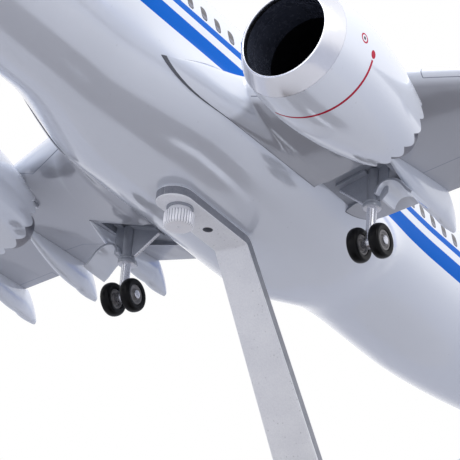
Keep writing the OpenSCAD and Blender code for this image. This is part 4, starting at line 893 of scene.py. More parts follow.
    def core(self) -> Piece:
        """The core nozzle: a turned cup with a thin open rear edge."""
        start = self.fan_depth + self.fan_len + 0.6 + self.bulkhead_t
        end, inner = self.length + self.core_reach, self.core_r - self.core_wall
        line = rounded([[start, 0.04], [start, self.core_r + 1.6], [self.length - 6, self.core_r + 1.9],
                        [end - 2, self.core_r + 0.3], [end, self.core_r], [end, inner], [end - 8, inner],
                        [end - 8, 0.04]], 0.3, 5)
        return self.piece("core_cup", self._turned(line, 72), "core_nozzle", "engine_metal", Coat.ENGINE)

    def plug(self) -> Piece:
        """The exhaust plug: a turned cone with a rounded tip."""
        start, r = self.length + self.core_reach - 8, self.plug_r
        end = self.length + self.core_reach + self.plug_reach
        line = rounded([[start, 0.04], [start, r * 0.9], [start + 4, r], [start + 8, r * 0.8], [end - 1.5, r * 0.32],
                        [end, 0.3], [end, 0.04]], 1.2, 6)
        return self.piece("plug_cone", self._turned(line, 56), "exhaust_plug", "engine_metal", Coat.ENGINE)

    def pylon(self) -> Piece:
        """The pylon: a blade whose half width swells as a sine power from its rounded front, and thins aft.

        Its foot is sunk a little in the cowl's crown, and its head follows the wing's underside.
        """
        le, le_z = self.wing.leading(self.y), self.wing.leading_z(self.y)
        start, end, rear = self.front - self.pylon_front, self.pylon_rear, self.front - self.length
        x = blend(start, end, np.linspace(0, 1, 60) ** 1.3)
        crown = self.z + self.cowl_r(np.clip(self.front - x, self.lip_len, self.length))
        behind = way(x, rear, end)
        tail_z = self.wing.underside(end, self.y) - 1.0
        foot = np.where(x < rear, blend(self.z + self.nozzle_r - 0.5, tail_z, behind ** 0.8), crown - 0.5)
        head = blend(crown + 0.1, le_z + 0.2, smooth((start - x) / (start - le)) ** 1.3)
        head = np.where(x < le - 0.4, self.wing.underside(x, self.y) - 0.03, head)
        head = np.maximum(head, foot + 0.3)
        half = self.pylon_w / 2 * swell(0.04 + (start - x) / 12, 0.7) * (1 - 0.8 * smooth((20 + end - x) / 20))
        c, s = np.cos(around(28)), np.sin(around(28))
        y = self.y + half[:, None] * np.sign(c) * np.abs(c) ** 0.3
        z = blend(foot[:, None], head[:, None], 0.5 + 0.5 * np.sign(s) * np.abs(s) ** 0.6)
        return self.piece("pylon_blade", Shell(self.side).tube(xyz(x[:, None], y, z)), "pylon", "lacquer",
                          Coat.LACQUER, sharp_deg=50)

    def pieces(self) -> list[Piece]:
        """Every piece of the engine."""
        return [self.nacelle(), self.lip(), self.fan(), self.core(), self.plug(), self.pylon()]


@dataclass(frozen=True)
class Axle:
    """The sizes of a gear leg's axle and of what turns on it."""

    pitch: float = 6.2
    tyre_w: float = 2.9
    hub_w: float = 2.3
    d: float = 1.5
    head_d: float = 2.3
    head_t: float = 0.4
    side_gap: float = 0.12

    def pin(self, shell: Shell, at: Point) -> Shell:
        """Adds the axle to a shell: a pin with a domed head at each end."""
        half = self.pitch / 2 + self.hub_w / 2 + self.side_gap
        end = half + self.head_t
        right = [[half - 0.001, self.d / 2], [half, self.head_d / 2], [end - 0.12, self.head_d / 2], [end, 0.5]]
        line = [[-a, b] for a, b in right[::-1]] + right
        return shell.turned(rounded(line, 0.15, 4), at, "y", 48)

    def boss(self, shell: Shell, at: Point, less: float, wall: float, reach: float, segments: int, mark: int) -> Shell:
        """Adds the leg's cross boss: a ring round the pin between the tyres, shorter than their gap by less."""
        half, inner = (self.pitch - self.tyre_w - 2 * self.side_gap - less) / 2, self.d / 2
        ring = [[-half, inner], [-half, inner + wall], [half, inner + wall], [half, inner]]
        return shell.turned(rounded(ring, reach, 4, True), at, "y", segments, mark, True)


@dataclass(frozen=True)
class Wheel(Assembly):
    """One wheel: a tyre on a dished hub, which turns on its axle."""

    name: str
    at: Point
    tyre_d: float = 9.0
    hub_d: float = 5.3
    axle: Axle = Axle()
    axle_fit: float = 0.05

    def _turned(self, line: Array, segments: int) -> Shell:
        """A closed profile turned round the axle."""
        return Shell().turned(line, self.at, "y", segments, 0, True)

    def pieces(self) -> list[Piece]:
        """The tyre, whose tread bulges as a power of a cosine, and the hub: rim, dish, raised bored centre."""
        short, half_w, hub_r = self.name.replace("_wheel", ""), self.axle.tyre_w / 2, self.hub_d / 2
        a = np.radians(np.linspace(-80, 80, 26))
        low = blend(hub_r, self.tyre_d / 2, 0.3)
        bulge = np.stack([half_w * np.sin(a) / np.sin(a[-1]), low + (self.tyre_d / 2 - low) * np.cos(a) ** 0.55], 1)
        rim = [[half_w - 0.22, hub_r + 0.08], [0.8, hub_r], [-0.8, hub_r], [-half_w + 0.22, hub_r + 0.08]]
        tyre = self._turned(np.concatenate([bulge, rim]), 72)
        w, head_r = self.axle.hub_w / 2, self.axle.head_d / 2
        face = [[w, self.axle.d / 2 + self.axle_fit], [w, head_r + 0.15], [w - 0.42, head_r + 0.35],
                [w - 0.42, hub_r - 0.85], [w - 0.05, hub_r - 0.5], [w - 0.05, hub_r - 0.02]]
        hub = self._turned(rounded([[-a, b] for a, b in face] + face[::-1], 0.14, 4, True), 56)
        return [Piece(self.name + "_rubber", tyre, short + "_tyre", "tyre", (Coat.TYRE,), self.name, 40),
                Piece(self.name + "_disc", hub, short + "_hub", "hub", (Coat.HUB,), self.name)]


@dataclass(frozen=True)
class MainGear(Assembly):
    """One main gear leg with its sheet metal brace, curved door, axle and two wheels."""

    side: Side = Side.LEFT
    wing: Wing = Wing()
    axle: Axle = Axle()
    leg_y: float = 37.05
    axle_z: float = -31.9
    leg_d: float = 3.0
    piston_d: float = 2.5
    collar_z: float = -22.4
    collar_h: float = 1.8
    collar_d: float = 4.7
    brace_t: float = 0.8
    brace_inner: float = 9.8
    brace_outer: float = 4.2
    flange_w: float = 4.4
    rod_r: float = 0.42
    door_front: float = 2.2
    door_len: float = 9.4
    door_t: float = 0.8
    door_line: tuple[Pair, ...] = (
        (1.9, -19.4), (2.4, -17.8), (3.4, -16.6), (5.2, -16.1), (7.0, -16.5), (8.6, -17.4), (10.0, -19.0),
        (11.2, -20.5), (12.4, -21.4))

    @property
    def foot(self) -> Point:
        """The middle of the axle."""
        return 0.0, self.leg_y, self.axle_z

    def leg(self) -> Piece:
        """The leg: turned cylinder, collar and piston, with a cross boss for the axle."""
        top = self.wing.bay_roof(self.leg_y - self.leg_d / 2) - self.axle_z - 0.02
        low = self.collar_z - self.axle_z
        high, collar, piston, leg = low + self.collar_h, self.collar_d / 2, self.piston_d / 2, self.leg_d / 2
        line = rounded([[0.0, piston], [low, piston], [low, collar - 0.1], [low + 0.3, collar], [low + 1.0, collar],
                        [low + 1.1, collar - 0.3], [low + 1.3, collar - 0.3], [low + 1.4, collar - 0.1],
                        [high - 0.1, collar - 0.1], [high, leg + 0.1], [high + 0.3, leg], [top, leg]], 0.12, 4)
        shell = Shell(self.side).turned(line, self.foot, "z", 64, np.where(line[:-1, 0] < low + 0.05, 1, 0))
        return self.piece("leg_strut", self.axle.boss(shell, self.foot, 0.5, 0.75, 0.15, 56, 1), "main_leg",
                          "gear_metal", Coat.GEAR, Coat.POLISHED)

    def brace(self) -> Piece:
        """The side brace: a sheet web, a flange along the bay's roof and a rod on the slanted edge."""
        y, collar, gap = self.leg_y, self.collar_d / 2, self.leg_d / 2 + 0.02
        inner, outer = y - self.brace_inner, y + self.brace_outer
        low = self.collar_z + self.collar_h + 0.1

        def roof(at: float) -> float:
            """Height just under the bay's roof."""
            return self.wing.bay_roof(at) - 0.02

        shell = Shell(self.side)
        for web in ([[inner, roof(inner)], [y - gap, roof(y - gap)], [y - gap, low], [y - collar, low],
                     [inner, roof(inner) - 0.8]],
                    [[y + gap, roof(y + gap)], [outer, roof(outer)], [outer, roof(outer) - 8.6], [y + collar, low],
                     [y + gap, low]]):
            shell.plate(web, "yz", -self.brace_t / 2, self.brace_t / 2, 0.1)
        for ends in ([inner, y - gap], [y + gap, outer]):
            top = np.array([[end, roof(end)] for end in ends])
            strip = np.concatenate([top, (top - [0, self.brace_t])[::-1]])
            shell.plate(strip, "yz", -self.flange_w / 2, self.flange_w / 2, 0.1)
        start = np.array([0.0, inner + 0.25, roof(inner) - 1.0])
        end = np.array([0.0, y - collar - 0.05, low + 0.05])
        along = (end - start) / np.linalg.norm(end - start)
        a, across = around(20)[..., None], np.array([0.0, -along[2], along[1]])
        circle = self.rod_r * (np.cos(a) * np.array([1.0, 0, 0]) + np.sin(a) * across)
        shell.tube(blend(start, end, np.linspace(0, 1, 12)[:, None, None]) + circle, 1)
        return self.piece("brace_sheet", shell, "gear_brace", "gear_metal", Coat.SHEET, Coat.POLISHED)

    def door(self) -> Piece:
        """The door: an S-curved sheet, the smoothed middle line thickened along its normals."""
        line = rounded(self.door_line, 0.8, 5) + [self.leg_y, 0.0]
        line = line[np.concatenate([[True], np.linalg.norm(np.diff(line, axis=0), axis=1) > 1e-4])]
        d = np.gradient(line, axis=0)
        n = np.stack([-d[:, 1], d[:, 0]], 1) / np.linalg.norm(d, axis=1)[:, None] * self.door_t / 2
        shell = Shell(self.side).plate(np.concatenate([line + n, (line - n)[::-1]]), "yz",
                                       self.door_front - self.door_len, self.door_front, 0.2, 1)
        return self.piece("door_sheet", shell, "gear_door", "lacquer", Coat.LACQUER, Coat.SHEET, sharp_deg=40)

    def pieces(self) -> list[Piece]:
        """The leg's pieces and both wheels."""
        pin = self.piece("axle_pin", self.axle.pin(Shell(self.side), self.foot), "main_axle", "gear_metal",
                         Coat.POLISHED)
        made = [self.leg(), self.brace(), self.door(), pin]
        for word, step in (("outer", 0.5), ("inner", -0.5)):
            y = self.side.value * (self.leg_y + step * self.axle.pitch)
            made += Wheel(f"{self.side.word}{word}_wheel", (0.0, y, self.axle_z)).pieces()
        return made


@dataclass(frozen=True)
class NoseGear(Assembly):
    """The nose gear: leg, axle, two wheels and two doors."""

    axle: Axle = Axle(4.6, 2.1, 1.7)
    x: float = 176.0
    axle_z: float = -33.4
    leg_d: float = 2.4
    piston_d: float = 1.8
    piston_h: float = 5.0
    tyre_d: float = 6.8
    hub_d: float = 3.8
    door_len: float = 15.0
    door_h: float = 6.0
    door_gap: float = 7.6
    door_t: float = 0.7

    @property
    def foot(self) -> Point:
        """The middle of the axle."""
        return self.x, 0.0, self.axle_z

    def leg(self) -> Piece:
        """The leg: turned cylinder and piston with a cross boss."""
        top = HULL.axis_z(self.x) - HULL.height(self.x) - self.axle_z + 0.04
        line = rounded([[0.0, self.piston_d / 2], [self.piston_h, self.piston_d / 2], [self.piston_h, self.leg_d / 2],
                        [top, self.leg_d / 2]], 0.15, 5)
        shell = self.axle.boss(Shell().turned(line, self.foot, "z", 48), self.foot, 0.4, 0.45, 0.12, 48, 0)
        return self.piece("nose_leg_strut", shell, "nose_leg", "gear_metal", Coat.GEAR)

    def doors(self) -> Piece:
        """Two doors hanging from the hull, with clipped lower corners."""
        drop = math.sqrt(1 - ((self.door_gap / 2 + 0.6) / HULL.width(self.x)) ** 2)
        top = HULL.axis_z(self.x) - HULL.height(self.x) * drop - 0.02
        l, h = self.door_len, self.door_h
        line = np.array([[0, 0], [l, 0], [l, -h * 0.75], [l - 2, -h], [2, -h], [0, -h * 0.75]])
        line = rounded(line + [self.x - l / 2, top], 0.5, 5, True)
        shell = Shell()
        for y in (-self.door_gap / 2, self.door_gap / 2):
            shell.plate(line, "xz", y - self.door_t / 2, y + self.door_t / 2, 0.12)
        return self.piece("nose_door_sheets", shell, "nose_gear_doors", "lacquer", Coat.LACQUER)

    def pieces(self) -> list[Piece]:
        """The leg, axle, doors and wheels."""
        pin = self.piece("nose_axle_pin", self.axle.pin(Shell(), self.foot), "nose_axle", "gear_metal", Coat.POLISHED)
        made = [self.leg(), pin, self.doors()]
        for side in Side:
            at = (self.x, side.value * self.axle.pitch / 2, self.axle_z)
            made += Wheel(side.word + "nose_wheel", at, self.tyre_d, self.hub_d, self.axle).pieces()
        return made


@dataclass(frozen=True)
class Stand(Assembly):
    """The bent stand arm, which widens downwards, on its board."""

    bar_w: float = 9.6
    foot_w: float = 17.8
    bar_t: float = 2.8
    arm_angle: float = 49.7
    arm_len: float = 150.0
    heel_x: float = -76.0
    mid_z: float = 14.4
    foot_len: float = 60.0
    plate_len: float = 30.8
    bend_r: float = 2.6
    edge: float = 0.35
    screw_hole_d: float = 3.6
    spare_x: float = 17.0
    spare_d: float = 2.6
    screws: Pair = (20.0, 48.0)
    foot_hole_d: float = 4.2
    run_rows: tuple[int, int, int] = (70, 60, 70)
    bend_rows: int = 14

    def _path(self) -> tuple[Array, Array, Array]:
        """Centre line of the bar in X and Z, with its normals and half widths.

        Straight runs meet in arcs of the bend radius. The half width is constant along the foot and
        the plate, goes straight from one to the other along the arm, and closes both ends as a half
        circle, sqrt(R^2 - (R - d)^2) at distance d from the end.

        Returns:
            Points, normals and half widths, one row each.
        """
        tilt = math.radians(self.arm_angle + STANCE.pitch_deg)
        heel = np.array([self.heel_x, self.mid_z])
        arm = np.array([math.cos(tilt), math.sin(tilt)])
        start, top = heel + [self.foot_len, 0.0], heel + self.arm_len * arm
        end = top + self.plate_len * np.array([math.cos(STANCE.pitch), math.sin(STANCE.pitch)])
        stops, heads = np.array([start, heel, top, end]), np.array([np.pi, tilt, STANCE.pitch])
        cuts = [0.0, *(self.bend_r * np.tan(np.abs(np.diff(heads)) / 2)), 0.0]
        line, angle = [], []
        for k, n in enumerate(self.run_rows):
            a, b = stops[k], stops[k + 1]
            step = (b - a) / np.linalg.norm(b - a)
            a, b = a + step * cuts[k], b - step * cuts[k + 1]
            t = np.linspace(0, 1, n) if k == 1 else (1 - np.cos(np.linspace(0, np.pi, n))) / 2
            line.append(blend(a, b, t[:, None]))
            angle.append(np.full(n, heads[k]))
            if k < 2:
                turn = np.linspace(heads[k], heads[k + 1], self.bend_rows + 2)[1:-1]
                reach = np.sign(heads[k + 1] - heads[k]) * self.bend_r
                centre = b + reach * np.array([-math.sin(heads[k]), math.cos(heads[k])])
                line.append(centre - reach * np.stack([-np.sin(turn), np.cos(turn)], 1))
                angle.append(turn)
        line, angle = np.concatenate(line), np.concatenate(angle)
        up = np.clip((line - heel) @ arm / self.arm_len, 0, 1)
        on_foot = np.arange(len(line)) < self.run_rows[0]
        half = np.where(on_foot, self.foot_w / 2, blend(self.foot_w / 2, self.bar_w / 2, up))
        for point, radius in ((start, self.foot_w / 2), (end, self.bar_w / 2)):
            d = np.linalg.norm(line - point, axis=1)
            half = np.where(d < radius, np.sqrt(np.maximum(0.0004, radius ** 2 - (radius - d) ** 2)), half)
        return line, np.stack([-np.sin(angle), np.cos(angle)], 1), half

    def pieces(self) -> list[Piece]:
        """The bar: a rounded rectangle carried along the centre line, then drilled."""
        line, normal, half = (part[..., None] for part in self._path())
        r = np.minimum(self.edge, half * 0.9)
        angle, sx, sy = corners(6)
        out = sy * (self.bar_t / 2 - self.edge) + self.edge * np.sin(angle)
        rings = xyz(line[:, 0] + normal[:, 0] * out, sx * (half - r) + r * np.cos(angle),
                    line[:, 1] + normal[:, 1] * out)
        # The bar's two side faces are marked for the darker grey finish: painted shade.
        sides = np.isin(np.arange(24), (11, 23)).astype(int)
        shell = Shell(stance=None).tube(rings, np.broadcast_to(sides, (len(rings) - 1, 24)))
        # The walls of the screw hole and the spare hole are marked for the same darker grey: painted shade.
        cutters = [drill((x, 0.0, -HULL.belly_depth), -self.bar_t - 1, 1.0, d / 2, 64, 1, STANCE)
                   for x, d in ((HULL.insert_x, self.screw_hole_d), (self.spare_x, self.spare_d))]
        cutters += [drill((self.heel_x + d, 0.0, self.mid_z), -4.0, 4.0, self.foot_hole_d / 2, 48) for d in self.screws]
        return [self.piece("stand_bar", shell, "stand_arm", "stand_metal", Coat.STAND, Coat.EDGE,
                           cutters=tuple(cutters))]


STAND = Stand()


@dataclass(frozen=True)
class ThumbScrew(Assembly):
    """The knurled screw that holds the aircraft, and its washer."""

    shank_d: float = 2.9
    shank_reach: float = 7.2
    knurl_d: float = 7.7
    knurl_h: float = 4.1
    knurl_n: int = 30
    knurl_depth: float = 0.22
    knurl_step: int = 10
    neck_d: float = 5.8
    neck_h: float = 0.9
    washer_d: float = 6.8
    washer_t: float = 0.5
    fit: float = 0.05

    @property
    def seat(self) -> Point:
        """The middle of the washer's lower face."""
        return HULL.insert_x, 0.0, -HULL.belly_depth - STAND.bar_t - self.washer_t

    def screw(self) -> Piece:
        """The screw: a turned profile whose radius loses depth * |sin(n a / 2)| along the knurl."""
        neck, bottom, top = -self.neck_h, -self.neck_h - self.knurl_h, self.washer_t + STAND.bar_t + self.shank_reach
        body, shank, neck_r = self.knurl_d / 2, self.shank_d / 2, self.neck_d / 2
        line = rounded([[top, 1.0], [top - 0.5, shank], [0.0, shank], [0.0, neck_r], [neck + 0.15, neck_r],
                        [neck, body - 0.6], [neck - 0.5, body], [bottom + 0.5, body], [bottom, body - 0.6],
                        [bottom, 0.5], [bottom + 0.25, 0.36], [bottom + 0.3, 0.05]], 0.12, 4)
        z, r = line[:, :1], line[:, 1:]
        knurled = smooth((neck - 0.1 - z) / 0.4) * smooth((z - bottom - 0.1) / 0.4)
        a = around(self.knurl_n * self.knurl_step)
        r = r - self.knurl_depth * (1 - np.abs(np.cos(self.knurl_n * a / 2)) ** 1.4) * knurled
        x0, _, z0 = self.seat
        # The bottoms of the knurl grooves are marked for the darker grey finish: painted shade.
        groove_shade = (knurled[:-1] > 0.3) & np.isin(np.arange(a.size) % self.knurl_step, (4, 5))
        shell = Shell().tube(xyz(x0 + r * np.cos(a), r * np.sin(a), z0 + z), groove_shade.astype(int))
        return self.piece("knurled_screw", shell, "thumb_screw", "screw_metal", Coat.SCREW, Coat.EDGE, body="screw",
                          sharp_deg=28)

    def washer(self) -> Piece:
        """The washer: a flat ring with softened edges."""
        inner, outer, t = self.shank_d / 2 + self.fit, self.washer_d / 2, self.washer_t
        line = rounded([[0.0, inner], [0.0, outer], [t, outer], [t, inner]], 0.1, 4, True)
        return self.piece("flat_washer", Shell().turned(line, self.seat, "z", 96, 0, True), "screw_washer",
                          "screw_metal", Coat.GEAR, body="washer")

    def pieces(self) -> list[Piece]:
        """The screw and its washer."""
        return [self.screw(), self.washer()]


@dataclass(frozen=True)
class Board(Assembly):
    """The base board with softened edges, its two screws and the felt below."""

    length: float = 176.0
    width: float = 110.0
    thick: float = 12.0
    corner: float = 14.0
    chamfer: float = 2.0
    felt_t: float = 1.0
    felt_margin: float = 4.0
    screw_d: float = 3.6
    head_d: float = 7.2
    head_h: float = 2.2
    grip: float = 8.0
    recess: Pair = (2.0, 0.45)

    @property
    def top(self) -> float:
        """Height of the board's upper face."""
        return self.felt_t + self.thick

    def _slab(self, levels: Array) -> Shell:
        """A slab through rounded rectangles, one for each [height, margin, corner]."""
        angle, sx, sy = corners(16)
        z, margin, corner = (levels[:, k:k + 1] for k in range(3))
        return Shell(stance=None).tube(xyz(sx * (self.length / 2 - margin - corner) + corner * np.cos(angle),
                                           sy * (self.width / 2 - margin - corner) + corner * np.sin(angle), z),
                                       0, Cap.FLAT)

    def board(self) -> Piece:
        """The board: the top edge is a chamfer with rounded corners above and below."""
        low, top, cut = self.felt_t, self.top, self.chamfer
        line = rounded([[low, 0.5], [low + 0.5, 0.0], [top - cut, 0.0], [top, cut], [top, cut + 3]], 0.7, 6)
        shell = self._slab(np.column_stack([line, self.corner - np.minimum(line[:, 1], 6)]))
        drills = [drill((STAND.heel_x + d, 0.0, top), -self.grip, 1.0, self.screw_d / 2 + 0.02, 32)
                  for d in STAND.screws]
        return self.piece("walnut_board", shell, "base_board", "board", Coat.WOOD, cutters=tuple(drills))

    def felt(self) -> Piece:
        """The felt: a thin slab with a soft rim."""
        c = self.corner - self.felt_margin
        levels = np.array([[0.0, self.felt_margin + 0.3, c], [0.15, self.felt_margin, c],
                           [self.felt_t - 0.02, self.felt_margin, c]])
        return self.piece("felt_pad", self._slab(levels), "base_felt", "felt", Coat.FELT)

    def screws(self) -> Piece:
        """Two pan head screws with a cross recess, one revolved solid each."""
        shell, slots = Shell(stance=None), []
        seat, r, tip, shank = self.top + STAND.bar_t, self.head_d / 2, -STAND.bar_t - self.grip, self.screw_d / 2
        line = rounded([[tip, 0.05], [tip, shank - 0.4], [tip + 1, shank], [0.0, shank], [0.0, r],
                        [self.head_h * 0.45, r], [self.head_h * 0.86, r * 0.7], [self.head_h, 0.05]], 0.5, 6)
        for x in (STAND.heel_x + d for d in STAND.screws):
            shell.turned(line, (x, 0.0, seat), "z", 64)
            for a, b in (self.recess, self.recess[::-1]):
                box = [[x - a, -b], [x + a, -b], [x + a, b], [x - a, b]]
                slots.append(Shell(stance=None).plate(box, "xy", seat + self.head_h * 0.45, seat + 2 * self.head_h,
                                                      0.02))
        return self.piece("pan_head_screws", shell, "base_screws", "screw_metal", Coat.SCREW, cutters=tuple(slots))

    def pieces(self) -> list[Piece]:
        """The board, the felt and the screws."""
        return [self.board(), self.felt(), self.screws()]


Socket = bpy.types.NodeSocket
Node = bpy.types.Node
Tree = bpy.types.NodeTree
Material = bpy.types.Material
Colour = tuple[float, float, float, float]


def operator(kind: str, swapped: bool = False) -> Callable[["Value", object], "Value"]:
    """An operator of Value that lays out one Math node of a kind, its two sides swapped or not."""
    return lambda value, other: value.math(kind, other, swapped)


class Value:
    """A socket that can be reckoned with: each operator lays out one Math node."""

    def __init__(self, graph: "Graph", socket: Socket) -> None:
        """Holds one output socket of a graph."""
        self.graph, self.socket = graph, socket

    def math(self, kind: str, other: object = 0.0, swapped: bool = False) -> "Value":
        """One Math node on this value and another."""
        node = self.graph.put("ShaderNodeMath", operation=kind)
        for socket, side in zip(node.inputs, (other, self) if swapped else (self, other)):
            self.graph.plug(socket, side)
        return Value(self.graph, node.outputs[0])

    def __abs__(self) -> "Value":
        """The size without its sign."""
        return self.math("ABSOLUTE")

    __add__ = __radd__ = operator("ADD")
    __sub__, __rsub__ = operator("SUBTRACT"), operator("SUBTRACT", True)
    __mul__ = __rmul__ = operator("MULTIPLY")
    __truediv__, __pow__ = operator("DIVIDE"), operator("POWER")
    __lt__, __gt__ = operator("LESS_THAN"), operator("GREATER_THAN")
    at_least, at_most = operator("MAXIMUM"), operator("MINIMUM")


class Graph:
    """Short ways to lay out shader nodes in one tree."""

    def __init__(self, tree: Tree) -> None:
        """Works on the given tree."""
        self.tree = tree

    def put(self, kind: str, feed: dict[object, object] | None = None, **settings: object) -> Node:
        """Adds a node of a kind, sets its own options and feeds its inputs."""
        node = self.tree.nodes.new(kind)
        for key, value in settings.items():
            setattr(node, key, value)
        self.feed(node, feed or {})
        return node

    def feed(self, node: Node, values: dict[object, object]) -> None:
        """Feeds a node's inputs, each found by its name or place."""
        for key, value in values.items():
            self.plug(node.inputs[key], value)

    def plug(self, socket: Socket, value: object) -> None:
        """Links a value to a socket, or sets the socket to a constant."""
        if isinstance(value, Value):
            self.tree.links.new(value.socket, socket)
        else:
            socket.default_value = value

    def out(self, node: Node, key: object = 0) -> Value:
        """One output of a node as a value."""
        return Value(self, node.outputs[key])

    def split(self, vector: Value) -> list[Value]:
        """X, Y and Z of a vector."""
        node = self.put("ShaderNodeSeparateXYZ", {0: vector})
        return [self.out(node, k) for k in range(3)]

    def stretch(self, vector: Value, by: Point) -> Value:
        """A vector with each axis multiplied."""
        return self.out(self.put("ShaderNodeVectorMath", {0: vector, 1: by}, operation="MULTIPLY"))

    def band(self, value: Value, low: float, high: float) -> Value:
        """1 where a value lies between low and high."""
        return (value > low) * (value < high)

    def near(self, value: Value, target: object, half: float) -> Value:
        """1 where a value lies within half of a target."""
        return abs(value - target) < half

    def oval(self, u: Value, v: Value, half_u: float, half_v: float, power: float) -> Value:
        """|u/a|^p + |v/b|^p, below 1 inside a rounded rectangle."""
        return abs(u / half_u) ** power + abs(v / half_v) ** power

    def mix(self, factor: object, a: object, b: object) -> Value:
        """A mix of two colours."""
        return self.out(self.put("ShaderNodeMix", {0: factor, 6: a, 7: b}, data_type="RGBA"), 2)

    def span(self, value: Value, low: object, high: object, to_low: float = 0.0, to_high: float = 1.0,
             kind: str = "SMOOTHSTEP") -> Value:
        """Maps a range of values to another, smoothly unless told otherwise."""
        ends = dict(enumerate((value, low, high, to_low, to_high)))
        return self.out(self.put("ShaderNodeMapRange", ends, interpolation_type=kind))

    def noise(self, vector: Value, scale: object, detail: float = 2.0, rough: float = 0.5) -> Value:
        """A noise texture's value."""
        feed = {"Vector": vector, "Scale": scale, "Detail": detail, "Roughness": rough}
        return self.out(self.put("ShaderNodeTexNoise", feed), "Fac")

    def cells(self, vector: Value, scale: object) -> Value:
        """A cell texture's distance from the nearest point."""
        return self.out(self.put("ShaderNodeTexVoronoi", {"Vector": vector, "Scale": scale}), "Distance")

    def bump(self, height: Value, strength: float, depth: float) -> Value:
        """A Bump node's normal, for a depth in millimetres."""
        feed = {"Height": height, "Strength": strength, "Distance": depth * MM}
        return self.out(self.put("ShaderNodeBump", feed), "Normal")

    def call(self, group: Tree, feed: dict[str, object]) -> dict[str, Value]:
        """Places a node group and gives its outputs by name."""
        node = self.put("ShaderNodeGroup", node_tree=group)
        self.feed(node, feed)
        return {socket.name: Value(self, socket) for socket in node.outputs}


def new_group(name: str, inputs: dict[str, float | None],
              outputs: tuple[str, ...]) -> tuple[Graph, dict[str, Value], Node]:
    """Starts a node group with named sockets.

    Args:
        name: what the group is called.
        inputs: each input's name and starting value; one without a value is a vector.
        outputs: the names of the outputs, all numbers.

    Returns:
        Its graph, its inputs by name and its output node.
    """
    tree = bpy.data.node_groups.new(name, "ShaderNodeTree")
    for key, value in inputs.items():
        kind = "NodeSocketVector" if value is None else "NodeSocketFloat"
        socket = tree.interface.new_socket(key, in_out="INPUT", socket_type=kind)
        if value is not None:
            socket.default_value = value
    for key in outputs:
        tree.interface.new_socket(key, in_out="OUTPUT", socket_type="NodeSocketFloat")
    graph = Graph(tree)
    entry = graph.put("NodeGroupInput")
    return graph, {s.name: Value(graph, s) for s in entry.outputs}, graph.put("NodeGroupOutput")


def sprayed_group() -> Tree:
    """Sprayed paint: slow ripple for the height, rare dust flecks, and patchy gloss."""
    g, i, o = new_group("sprayed_paint", {"Vector": None, "Ripple": 0.35, "Dust": 0.5, "Gloss": 0.2},
                        ("Height", "Fleck", "Roughness"))
    v = i["Vector"]
    dots = g.span(g.cells(v, 0.55), 0.10, 0.16, 1.0, 0.0)
    rare = g.span(g.noise(v, 0.16, 1.0), 0.62, 0.68)
    g.feed(o, {"Height": g.noise(v, i["Ripple"], 3.0, 0.55), "Fleck": dots * rare * i["Dust"],
               "Roughness": i["Gloss"] * g.span(g.noise(v, 0.05), 0.3, 0.7, 0.8, 1.25)})
    return g.tree


def grain_group() -> Tree:
    """Metal grain: fine noise stretched along one way, broad clouds, and small pits."""
    g, i, o = new_group("metal_grain", {"Vector": None, "Grain": 4.0, "Clouds": 0.3, "Pits": 0.0, "Pit size": 1.6},
                        ("Tone", "Height", "Pit", "Cloud"))
    v = i["Vector"]
    fine = g.noise(v, i["Grain"], 3.0, 0.7)
    pit = g.span(g.cells(v, i["Pit size"]), 0.08, 0.26, 1.0, 0.0)
    some = g.span(g.noise(v, i["Pit size"] * 0.35), 0.46, 0.58)
    pits = pit * some * i["Pits"]
    g.feed(o, {"Tone": fine, "Cloud": g.noise(v, i["Clouds"]), "Pit": pits, "Height": fine * 0.4 - pits})
    return g.tree


def scribe_group() -> Tree:
    """A scribed line: 1 where a distance is under the line's half width, with a soft shoulder."""
    g, i, o = new_group("scribed_line", {"Distance": 0.0, "Half width": 0.12}, ("Line",))
    half = i["Half width"]
    g.feed(o, {"Line": g.span(abs(i["Distance"]), half, half * 1.6, 1.0, 0.0, "LINEAR")})
    return g.tree


@dataclass
class SharedEffects:
    """The node groups that several finishes use, each built once."""

    sprayed: Tree = field(default_factory=sprayed_group)
    grain: Tree = field(default_factory=grain_group)
    scribe: Tree = field(default_factory=scribe_group)


class Finish:
    """A finish: subclasses hold its values and lay out its nodes."""

    name: str = "finish"

    def start(self, level: bool = True) -> tuple[Material, Graph, Node, Value]:
        """A new material with its shader, and Object coordinates in millimetres.

        Args:
            level: whether the coordinates are turned to the level aircraft.

        Returns:
            The material, its graph, its Principled shader and the coordinates.
        """
        material = bpy.data.materials.new(self.name)
        material.use_nodes = True
        g = Graph(material.node_tree)
        feed = {"Vector": g.out(g.put("ShaderNodeTexCoord"), "Object"), "Scale": (1000, 1000, 1000)}
        if level:
            feed["Location"], feed["Rotation"] = STANCE.mapping()
        mapping = g.put("ShaderNodeMapping", feed, vector_type="POINT")
        return material, g, material.node_tree.nodes["Principled BSDF"], g.out(mapping)

    def make(self, effects: SharedEffects) -> Material:
        """Builds the material."""
        raise NotImplementedError


def rgb(r: float, g: float, b: float) -> Colour:
    """A linear colour with full alpha."""
    return (r, g, b, 1.0)


def darker(colour: Colour, by: float) -> Colour:
    """A colour times a share, with full alpha."""
    return rgb(*(by * c for c in colour[:3]))


Look = tuple[object, object, object]


